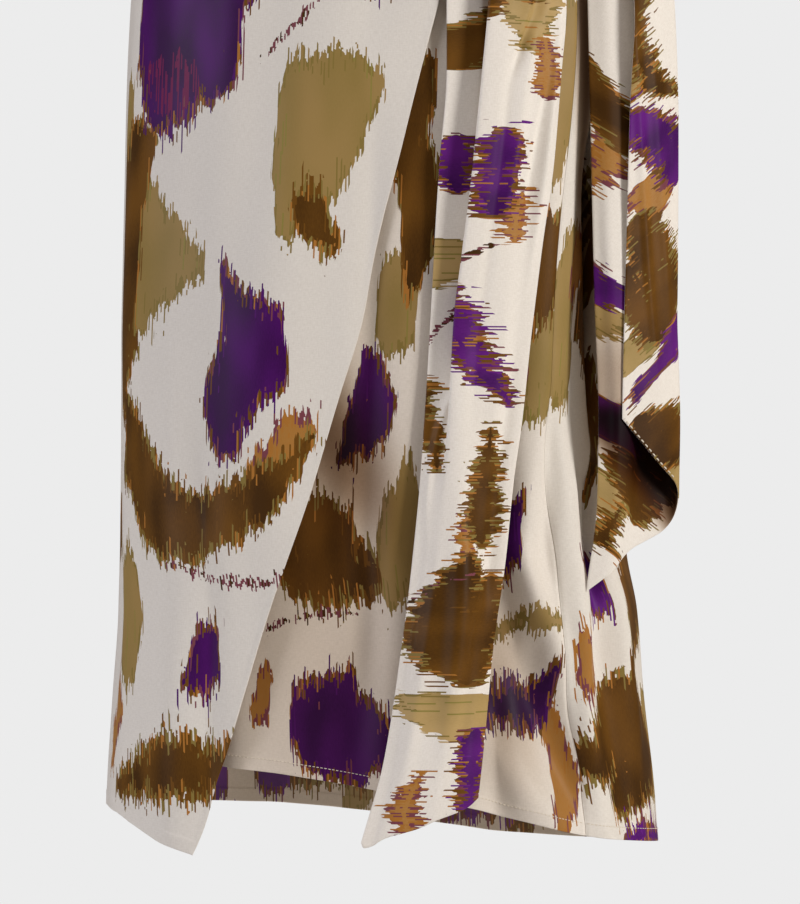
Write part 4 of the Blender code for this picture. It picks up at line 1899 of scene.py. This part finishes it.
@dataclass
class Tail(Cloth):
    """A hanging end: a double layer, sewn and turned, pleated into the waistband's seam.

    Attributes:
        end: How far down its end is, by the share across.
        grain: The angle of its warp, in degrees.
    """

    slot: str = "tail_silk"
    held: str = "gathered"
    end: Table = FRONT_TAIL_END
    grain: float = 90.0

    # Between which places down its creases grow
    ROOM = (20.0, 70.0)
    # The radius of its turned edges, and the share of the wall that is left there
    SOFT_EDGE, EDGE_WALL = 2.4, 0.1

    def section(self, share: Array, down: Array) -> Array:
        """The tail's points in plan at these shares across and places down."""
        raise NotImplementedError

    def lay(self) -> Lay:
        """Hangs the tail from the waistband's seam, with thin, rounded edges.

        Returns:
            How the tail lies.
        """
        top = BAND_BOTTOM + TAIL_TOP_GAP
        share = spaced(self.columns, self.width, EDGE_STEPS, EDGE_STEPS)[None, :]
        fall = spaced(self.rows, self.length, EDGE_STEPS, EDGE_STEPS)[:, None]
        down = top + (self.end.at("down", share) - top) * fall
        share = np.broadcast_to(share, down.shape)
        plan = self.section(share, down)
        points = np.concatenate([plan, -down[..., None]], axis=-1)
        step = np.gradient(plan, axis=1)
        outward = np.stack([step[..., 1], -step[..., 0], np.zeros(down.shape)], axis=-1)
        outward /= np.linalg.norm(outward, axis=-1, keepdims=True)
        lay = Lay(points, outward, down, down, np.full(down.shape, TAIL_WALL), centred=True)
        to_left = lay.measured(1)
        to_end = lay.measured(0)[-1:] - lay.measured(0)
        lay.across, lay.along = to_left, down
        self.fallen(lay, to_left - to_left[:, -1:], down, ramp(down, *self.ROOM))
        edge = np.minimum(np.minimum(to_left, to_left[:, -1:] - to_left), to_end)
        round_edge = rounded(edge, self.SOFT_EDGE)
        lay.wall = TAIL_WALL * (self.EDGE_WALL + (1 - self.EDGE_WALL) * round_edge)
        self.turn_grain(lay)
        return lay

    def turn_grain(self, lay: Lay) -> None:
        """Turns the cloth under the tail's cut, so that the warp lies at the angle grain.

        Args:
            lay: How the tail lies, which this changes.
        """
        cos, sin = math.cos(math.radians(self.grain)), math.sin(math.radians(self.grain))
        u, v = lay.across, lay.along
        lay.across, lay.along = u * cos + v * sin, v * cos - u * sin

    @staticmethod
    def pleat(share: Array, down: Array) -> Array:
        """The small pleats' height across the tail, largest at the waistband."""
        fading = 1 - ramp(down, 0, PLEATS_END)
        return PLEAT_DEPTH * fading * np.sin(2 * math.pi * PLEATS * share)


@dataclass
class FrontTail(Tail):
    """The front tail: a wide face with its left-hand edge folded behind it."""

    name: str = "front_tail_satin"
    node: str = "front_tail"
    creases: tuple[tuple, ...] = (
        (-20, 190, -43, 268, 5, -6, 2, 0.3), (-12, 270, -20, 380, 4.5, -3, 2, 0.3),
        (-33, 170, -38, 380, 6, 3, -2), (-7, 200, -9, 420, 4, 2.5), (-46, 210, -44, 520, 5, -1.8),
        (-28, 380, -22, 640, 8, 2), (-14, 440, -16, 700, 6, -2), (-44, 560, -38, 760, 7, 2),
        (-22, 620, -30, 800, 7, -2.4), (-62, 600, -70, 800, 6, 2), (-96, 140, -92, 300, 4, -3.5),
        (-112, 250, -106, 420, 4, 3.4, 2, 0.4), (-124, 170, -112, 330, 4, -2),
        (-84, 420, -74, 600, 4, 2),
    )
    flat: Pair = (0.155, 0.81)
    area: float = 0.092
    columns: int = 110
    face_print: WarpPrint = WarpPrint(
        (
            (K, CLOUD, 228, -112, 76, 90), (O, BAR, 205, -110, 80, 88),
            (C, OVAL, 262, -128, 46, 90), (P, OVAL, 334, -92, 78, 80, 0.9),
            (C, OVAL, 366, -116, 40, 90, 0.8), (P, LEAF, 462, -70, 88, 66, 1.6),
            (D, TWIG, 420, -44, 120, 80), (O, PETAL, 560, -66, 88, 94, 1.1),
            (C, OVAL, 600, -48, 48, 90, 0.8), (O, CLOUD, 660, -62, 108, 70, 1.1),
            (K, BAR, 724, -56, 86, 96, 1.2), (P, OVAL, 770, -80, 66, 86, 0.85),
            (D, TWIG, 640, -16, 90, 90), (O, BAR, 236, -18, 90, 84, 1.2),
            (P, OVAL, 320, -14, 56, 90, 0.9), (K, BAR, 398, -8, 70, 90, 1.2),
            (O, OVAL, 516, -2, 56, 90, 0.8), (C, LEAF, 792, -34, 60, 80, 1.6),
            (O, OVAL, 60, -70, 90, 90), (P, BAR, 130, -100, 80, 90),
        ),
        seed=14,
    )
    reverse_print: WarpPrint | None = WarpPrint(
        (
            (O, TRUNK, 200, -60, 170, 10), (P, PETAL, 420, -60, 130, 0),
            (K, LEAF, 620, -60, 150, 20),
        ),
        seed=15,
    )

    # How far the tuck's layer sags, at which shares of its width the face is set, and how far
    # it swells there
    TUCK_SAG, FACE_STOPS, FACE_SWELL = 0.5, (0.34, 0.70), 1.5

    def section(self, share: Array, down: Array) -> Array:
        """Draws the front tail in plan: its edge, the tuck, the fold and its face.

        Args:
            share: Each point's share of the way across.
            down: How far down it is.

        Returns:
            The points.
        """
        row = {name: FRONT_TAIL.at(name, down) for name in FRONT_TAIL.names[1:]}
        edge, tuck = stack(row["edge_x"], row["edge_out"]), stack(row["tuck_x"], row["tuck_out"])
        fold, far = stack(row["fold_x"], row["fold_out"]), stack(row["far_x"], row["far_out"])
        span = far[..., 0] - fold[..., 0]
        near, next_to_far = (fold[..., 0] + stop * span for stop in self.FACE_STOPS)
        stations = [
            edge,
            (edge + tuck) / 2 - np.array([0, self.TUCK_SAG]),
            tuck,
            fold,
            stack(near, fold[..., 1] + self.FACE_SWELL),
            stack(next_to_far, (fold[..., 1] + far[..., 1]) / 2 + self.FACE_SWELL),
            far,
        ]
        drawn = curve_through(stations, share)
        x, out = drawn[..., 0], drawn[..., 1]
        surface = self.form.plan(self.form.angle_at(x, down), down)[1]
        return stack(x, surface - out - self.pleat(share, down))


@dataclass
class SideTail(Tail):
    """The side tail: folded over lengthwise at the hip, with a slanting cut."""

    name: str = "side_tail_satin"
    node: str = "side_tail"
    creases: tuple[tuple, ...] = (
        (-20, 150, -22, 400, 6, 1.6), (-36, 220, -30, 480, 6, -1.8), (-48, 180, -46, 420, 6, 1.5),
        (-10, 330, -18, 600, 5, -1.6), (-104, 170, -98, 440, 8, -2.2, 3),
        (-86, 200, -84, 500, 6, 1.6), (-122, 220, -112, 470, 6, 1.5),
        # The front layer's edge stands a little off the back layer, which swells behind it
        (-143, 110, -136, 480, 5, 2.4), (-38, 60, -34, 560, 15, -8.5),
    )
    flat: Pair = (0.155, 0.63)
    area: float = 0.073
    end: Table = SIDE_TAIL_END
    columns: int = 130
    rows: int = 200
    width: float = 150.0
    length: float = 560.0
    grain: float = 58.0
    face_print: WarpPrint = WarpPrint(
        (
            (O, CRESCENT, 196, 104, 96, 20), (K, OVAL, 226, 130, 60, 10, 0.8),
            (P, PETAL, 268, 142, 96, 70, 1.1), (C, OVAL, 306, 168, 60, 0, 0.8),
            (O, CLOUD, 366, 186, 112, 12), (K, OVAL, 402, 232, 64, 20, 0.9),
            (P, BAR, 430, 206, 74, 70), (O, OVAL, 478, 232, 76, 20, 0.9),
            (K, PETAL, 506, 250, 70, 10),
        ),
        seed=17,
    )
    reverse_print: WarpPrint | None = WarpPrint(
        (
            (O, BAR, 312, 20, 92, 84, 1.2), (C, OVAL, 350, 44, 56, 60, 0.9),
            (P, BAR, 420, 78, 80, 84, 1.1), (K, OVAL, 450, 100, 56, 30, 0.8),
            # Inside the end of the fold, under the front layer: print, and its olive patches are
            # laid there also to darken the front layer's painted shade.
            (O, CLOUD, 540, 196, 84, 16, 1.1), (O, OVAL, 505, 176, 96, 10, 0.9),
            (P, OVAL, 516, 146, 92, 20, 0.8), (K, LEAF, 572, 164, 110, 10, 1.4),
            (O, LEAF, 604, 176, 76, 60, 1.4), (P, OVAL, 180, 0, 80, 90),
        ),
        seed=18,
    )

    # Where the front layer's slanting cut starts, across and down, and how steep it is
    CUT, CUT_SLOPE = (168.8, 517.0), 1.2
    # The shade of the front layer on the inner face: its depth, between which places down it
    # starts, and how far below the cut it fades
    SHADE, SHADE_STARTS, SHADE_FADES = 2.3, (500, 516), (12, 50)
    # The weaker shade inside the fold above it, and between which places down that grows
    RECESS, RECESS_GROWS = 0.6, (425, 480)
    # How far the front layer swells, at which shares of its width the back layer is set, and
    # how far that swells, as shares of the fold's radius
    FRONT_SWELL, BACK_STOPS, BACK_SWELL = 0.25, (0.42, 0.74), 1.1

    def shadow(self, lay: Lay) -> Array:
        """Shades the inner face under the front layer, down to a little below its cut.

        Args:
            lay: How the tail lies.

        Returns:
            The depths at the points of both sides.
        """
        x, down = lay.points[..., 0], -lay.points[..., 2]
        below = down - self.CUT[1] - self.CUT_SLOPE * (x - self.CUT[0])
        reached = ramp(down, *self.SHADE_STARTS)
        recess = self.RECESS * ramp(down, *self.RECESS_GROWS) * (1 - reached)
        inner = self.SHADE * (1 - ramp(below, *self.SHADE_FADES)) * reached + recess
        return np.stack([np.zeros(inner.shape), inner])

    def section(self, share: Array, down: Array) -> Array:
        """Draws the side tail in plan: a hairpin round its fold.

        Args:
            share: Each point's share of the way across.
            down: How far down it is.

        Returns:
            The points.
        """
        row = {name: SIDE_TAIL.at(name, down) for name in SIDE_TAIL.names[1:]}
        front, fold = stack(row["front_x"], row["front_y"]), stack(row["fold_x"], row["fold_y"])
        back = stack(row["back_x"], row["back_y"])
        radius = row["radius"][..., None]
        run = fold - front
        reach = np.linalg.norm(run, axis=-1, keepdims=True)
        ahead = run / reach
        inward = np.stack([-ahead[..., 1], ahead[..., 0]], axis=-1)
        turn = fold - ahead * radius + inward * 2 * radius
        stations = [
            front,
            front + run / 2 - inward * radius * self.FRONT_SWELL,
            fold - ahead * radius,
            fold + inward * radius,
            turn,
            turn + (back - turn) * self.BACK_STOPS[0],
            turn + (back - turn) * self.BACK_STOPS[1] - inward * self.BACK_SWELL * radius,
            back,
        ]
        return curve_through(stations, share) - inward * self.pleat(share, down)[..., None]


@dataclass
class Stitches:
    """A row of stitches along a piece's lower edge, each a short thread that dips into the cloth.

    Attributes:
        name: The row's name.
        slot: The name of a material slot, which is not used.
        thread: The finish of the thread.
        inset: How far above the edge the row runs.
        reach: The shares of the way across where it starts and ends.
        pitch: From one stitch to the next.
        length: How long a stitch is.
        radius: The thread's radius.
    """

    name: str
    slot: str
    thread: bpy.types.Material
    inset: float = 9.4
    reach: Pair = (0.004, 0.996)
    pitch: float = 2.9
    length: float = 2.1
    radius: float = 0.3

    SIDES = 6
    # Each ring of a stitch: its place along, its width and its rise, as shares
    RINGS = (
        (-0.5, 0.3, -0.6),
        (-0.36, 0.9, 0.1),
        (0.0, 1.0, 0.5),
        (0.36, 0.9, 0.1),
        (0.5, 0.3, -0.6),
    )

    def line(self, lay: Lay) -> tuple[Array, Array]:
        """Where the stitches lie on the cloth's outer face, and the way out at each.

        Args:
            lay: How the cloth lies.

        Returns:
            The stitches' middles, in order, and the unit vectors out of the cloth.
        """
        outer = lay.faces()[0]
        to_end = lay.measured(0)[-1:] - lay.measured(0)
        columns = np.arange(outer.shape[1])
        row = np.argmax(to_end < self.inset, axis=0)
        near, far = to_end[row, columns], to_end[row - 1, columns]
        share = ((self.inset - near) / (far - near))[:, None]
        points = outer[row, columns] * (1 - share) + outer[row - 1, columns] * share
        steps = np.linalg.norm(np.diff(points, axis=0), axis=1)
        run = np.concatenate([[0.0], np.cumsum(steps)])
        stops = np.arange(self.reach[0] * run[-1], self.reach[1] * run[-1], self.pitch)

        def between(values: Array) -> Array:
            """These values of the columns, read at the stitches."""
            return np.stack([np.interp(stops, run, values[:, i]) for i in range(3)], axis=-1)

        return between(points), between(lay.outward[row, columns])

    def make(self, lay: Lay) -> bpy.types.Object:
        """Sews the row.

        Args:
            lay: How the cloth lies.

        Returns:
            The stitches, as one mesh.
        """
        middle, out = self.line(lay)
        ahead = np.gradient(middle, axis=0)
        ahead /= np.linalg.norm(ahead, axis=1, keepdims=True)
        out = out - ahead * np.sum(out * ahead, axis=1, keepdims=True)
        out /= np.linalg.norm(out, axis=1, keepdims=True)
        aside = np.cross(ahead, out)
        turn = 2 * math.pi * np.arange(self.SIDES) / self.SIDES
        rings = []
        for place, width, rise in self.RINGS:
            centre = middle + ahead * place * self.length + out * rise * self.radius
            reach = self.radius * width
            ring = aside[:, None] * np.cos(turn)[:, None] + out[:, None] * np.sin(turn)[:, None]
            rings.append(centre[:, None] + reach * ring)
        points = np.stack(rings, axis=1).reshape(-1, 3) * METRES

        side = np.arange(self.SIDES)
        following = (side + 1) % self.SIDES
        one = []
        for ring in range(len(self.RINGS) - 1):
            a, b = ring * self.SIDES, (ring + 1) * self.SIDES
            one += [(a + i, a + j, b + j, b + i) for i, j in zip(side, following)]
        one.append(tuple(side[::-1]))
        one.append(tuple(side + (len(self.RINGS) - 1) * self.SIDES))
        each = len(self.RINGS) * self.SIDES
        faces = [
            tuple(int(corner) + n * each for corner in face)
            for n in range(len(middle))
            for face in one
        ]
        mesh = bpy.data.meshes.new(self.name)
        mesh.from_pydata(points.tolist(), [], faces)
        mesh.materials.append(self.thread)
        mesh.shade_smooth()
        made = add_object(self.name, mesh)
        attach(made, BODY)
        log.info("%s: %d stitches", self.name, len(middle))
        return made


# ---------------- studio


@dataclass(frozen=True)
class Studio:
    """A plain pale floor, soft light and the camera.

    Attributes:
        distance: How far the camera stands in front of the skirt, in metres.
        height: Its height against the waist.
        aside: How far it stands to the wearer's left.
        lens: Its focal length, for a sensor whose long side is 36 mm.
        aim: The height of the skirt's middle, which the lights are turned to.
        backdrop: What the camera sees behind the skirt.
        surround: The colour of the light from all round.
        surround_strength: How strong that light is.
        floor: The floor's height against the waist.
        floor_radius: How far it reaches.
        floor_sides: How many sides its round edge has.
        floor_tones: The two tones of its paint.
    """

    distance: float = 3.5
    height: float = -0.539
    aside: float = 0.0075
    lens: float = 185.84
    aim: float = -0.45
    backdrop: str = "#ECECEC"
    surround: str = "#F3E2D2"
    surround_strength: float = 0.22
    floor: float = -1.05
    floor_radius: float = 1.2
    floor_sides: int = 96
    floor_tones: tuple[str, str] = ("#EDEDED", "#E6E6E6")

    # Each soft box: its name, its place, its width in metres, its power in watts, its colour
    LIGHTS = (
        ("key_light", (2.4, -1.6, 0.4), 0.8, 65.0, "#FFFCF8"),
        ("fill_light", (-2.6, -1.5, 0.3), 1.2, 46.0, "#F4F6FF"),
        ("back_light", (0.4, 2.6, 0.5), 1.6, 24.0, "#FFFFFF"),
    )

    def build(self) -> None:
        """Sets the camera, the lights, the world and the floor."""
        self._camera()
        self._world()
        self._floor()
        self._lights()

    def _camera(self) -> None:
        """A long lens, level, in front of the middle of what it shows."""
        data = bpy.data.cameras.new("camera")
        data.lens = self.lens
        data.sensor_width = 36.0
        data.clip_end = 60.0
        camera = add_object("camera", data)
        camera.location = (self.aside, -self.distance, self.height)
        camera.rotation_euler = (math.radians(90), 0.0, 0.0)
        bpy.context.scene.camera = camera
        bpy.context.scene.view_settings.view_transform = "Standard"

    def _world(self) -> None:
        """A pale surround that the camera sees as the backdrop, and that lights more softly."""
        world = bpy.data.worlds.new("pale_surround")
        bpy.context.scene.world = world
        world.use_nodes = True
        tree = world.node_tree
        tree.nodes.clear()
        seen = add_node(tree, "ShaderNodeBackground", {"Color": linear(self.backdrop)})
        lighting = add_node(
            tree, "ShaderNodeBackground",
            {"Color": linear(self.surround), "Strength": self.surround_strength},
        )
        path = add_node(tree, "ShaderNodeLightPath")
        mix = add_node(
            tree, "ShaderNodeMixShader",
            {0: path.outputs["Is Camera Ray"], 1: lighting.outputs[0], 2: seen.outputs[0]},
        )
        add_node(tree, "ShaderNodeOutputWorld", {"Surface": mix.outputs[0]})

    def _lights(self) -> None:
        """Round soft boxes, turned to the middle of the skirt."""
        for name, place, size, watts, colour in self.LIGHTS:
            data = bpy.data.lights.new(name, "AREA")
            data.shape = "DISK"
            data.size = size
            data.energy = watts
            data.color = linear(colour)[:3]
            light = add_object(name, data)
            light.location = place
            aim = Vector((0.0, 0.0, self.aim)) - Vector(place)
            light.rotation_euler = aim.to_track_quat("-Z", "Y").to_euler()

    def _floor(self) -> None:
        """A round studio floor of board in matt white paint, which looks flat and even."""
        mesh = bpy.data.meshes.new("floor")
        turns = [2 * math.pi * i / self.floor_sides for i in range(self.floor_sides)]
        ring = [
            (self.floor_radius * math.cos(turn), self.floor_radius * math.sin(turn), self.floor)
            for turn in turns
        ]
        mesh.from_pydata(ring, [], [tuple(range(self.floor_sides))])
        paint, tree = blank_material("matt_white_paint")
        light, dark = self.floor_tones
        steps = (
            Step("mottle", NOISE, "3D", {"Scale": 40.0, "Detail": 3.0}),
            Step("_ _ tone", MIX, "RGBA", {0: "mottle", 6: light, 7: dark}),
        )
        known = follow(tree, steps, {})
        shader = add_node(
            tree, "ShaderNodeBsdfPrincipled", {"Base Color": known["tone"], "Roughness": 0.8}
        )
        add_node(tree, "ShaderNodeOutputMaterial", {"Surface": shader.outputs[0]})
        mesh.materials.append(paint)
        add_object("floor", mesh)


def main() -> None:
    """Makes the skirt, piece by piece, and the studio round it."""
    logging.basicConfig(level=logging.INFO, format="%(name)s: %(message)s")
    form = SkirtForm()
    arcs = Arcs(form)
    # The printed silk comes in lit and shaded copies of one cloth: the overlap's darker ground,
    # purple and khaki and the underlap's deeper purple are painted shade, and the tails' lighter
    # ground and khaki are painted light.
    single = PrintedSatin(
        "printed_silk_satin", ground="#E0DBD4", shade="#D3CDC5",
        purple=("#4D1064", "#340843"), khaki="#9A7F4D",
    ).build()
    under = PrintedSatin(
        "printed_silk_satin_underlap", ground="#E9E2D9", shade="#DBD3C8",
        purple=("#4D1262", "#340942"), shaded=True,
    ).build()
    back = PrintedSatin(
        "printed_silk_satin_side", ground="#E6E0D7", shade="#D9D2C8", shaded=True
    ).build()
    tail = PrintedSatin(
        "printed_silk_satin_double", ground="#EFE9E1", shade="#E1DAD0",
        purple=("#631E7C", "#410F56"), khaki="#B89B67",
    )
    double = tail.build()
    fold = replace(tail, name="printed_silk_satin_fold", shaded=True).build()
    wrong_side = PrintedSatin(
        "printed_silk_satin_back", ground="#DECFBC", shade="#D0C0AB", gloss=0.55, washed=0.07
    ).build()
    finishes = {
        Waistband: (double, double),
        FrontUnderlap: (under, wrong_side),
        Back: (back, wrong_side),
        FrontOverlap: (single, wrong_side),
        FrontTail: (double, double),
        SideTail: (double, fold),
    }
    thread = SpunThread().build()
    sewn = {
        FrontUnderlap: Stitches("underlap_hem_stitches", "printed_silk", thread),
        Back: Stitches("back_hem_stitches", "printed_silk", thread),
        SideTail: Stitches(
            "side_tail_stitches", "tail_silk", thread,
            inset=1.5, reach=(0.03, 0.34), pitch=4.7, length=3.2, radius=0.6,
        ),
    }
    for kind, (face, reverse) in finishes.items():
        piece = kind(form, arcs, face, reverse)
        lay = piece.lay()
        made = piece.make(lay)
        rows = [sewn[kind].make(lay)] if kind in sewn else []
        list(piece.rests_on)
    Studio().build()


if __name__ == "__main__":
    main()
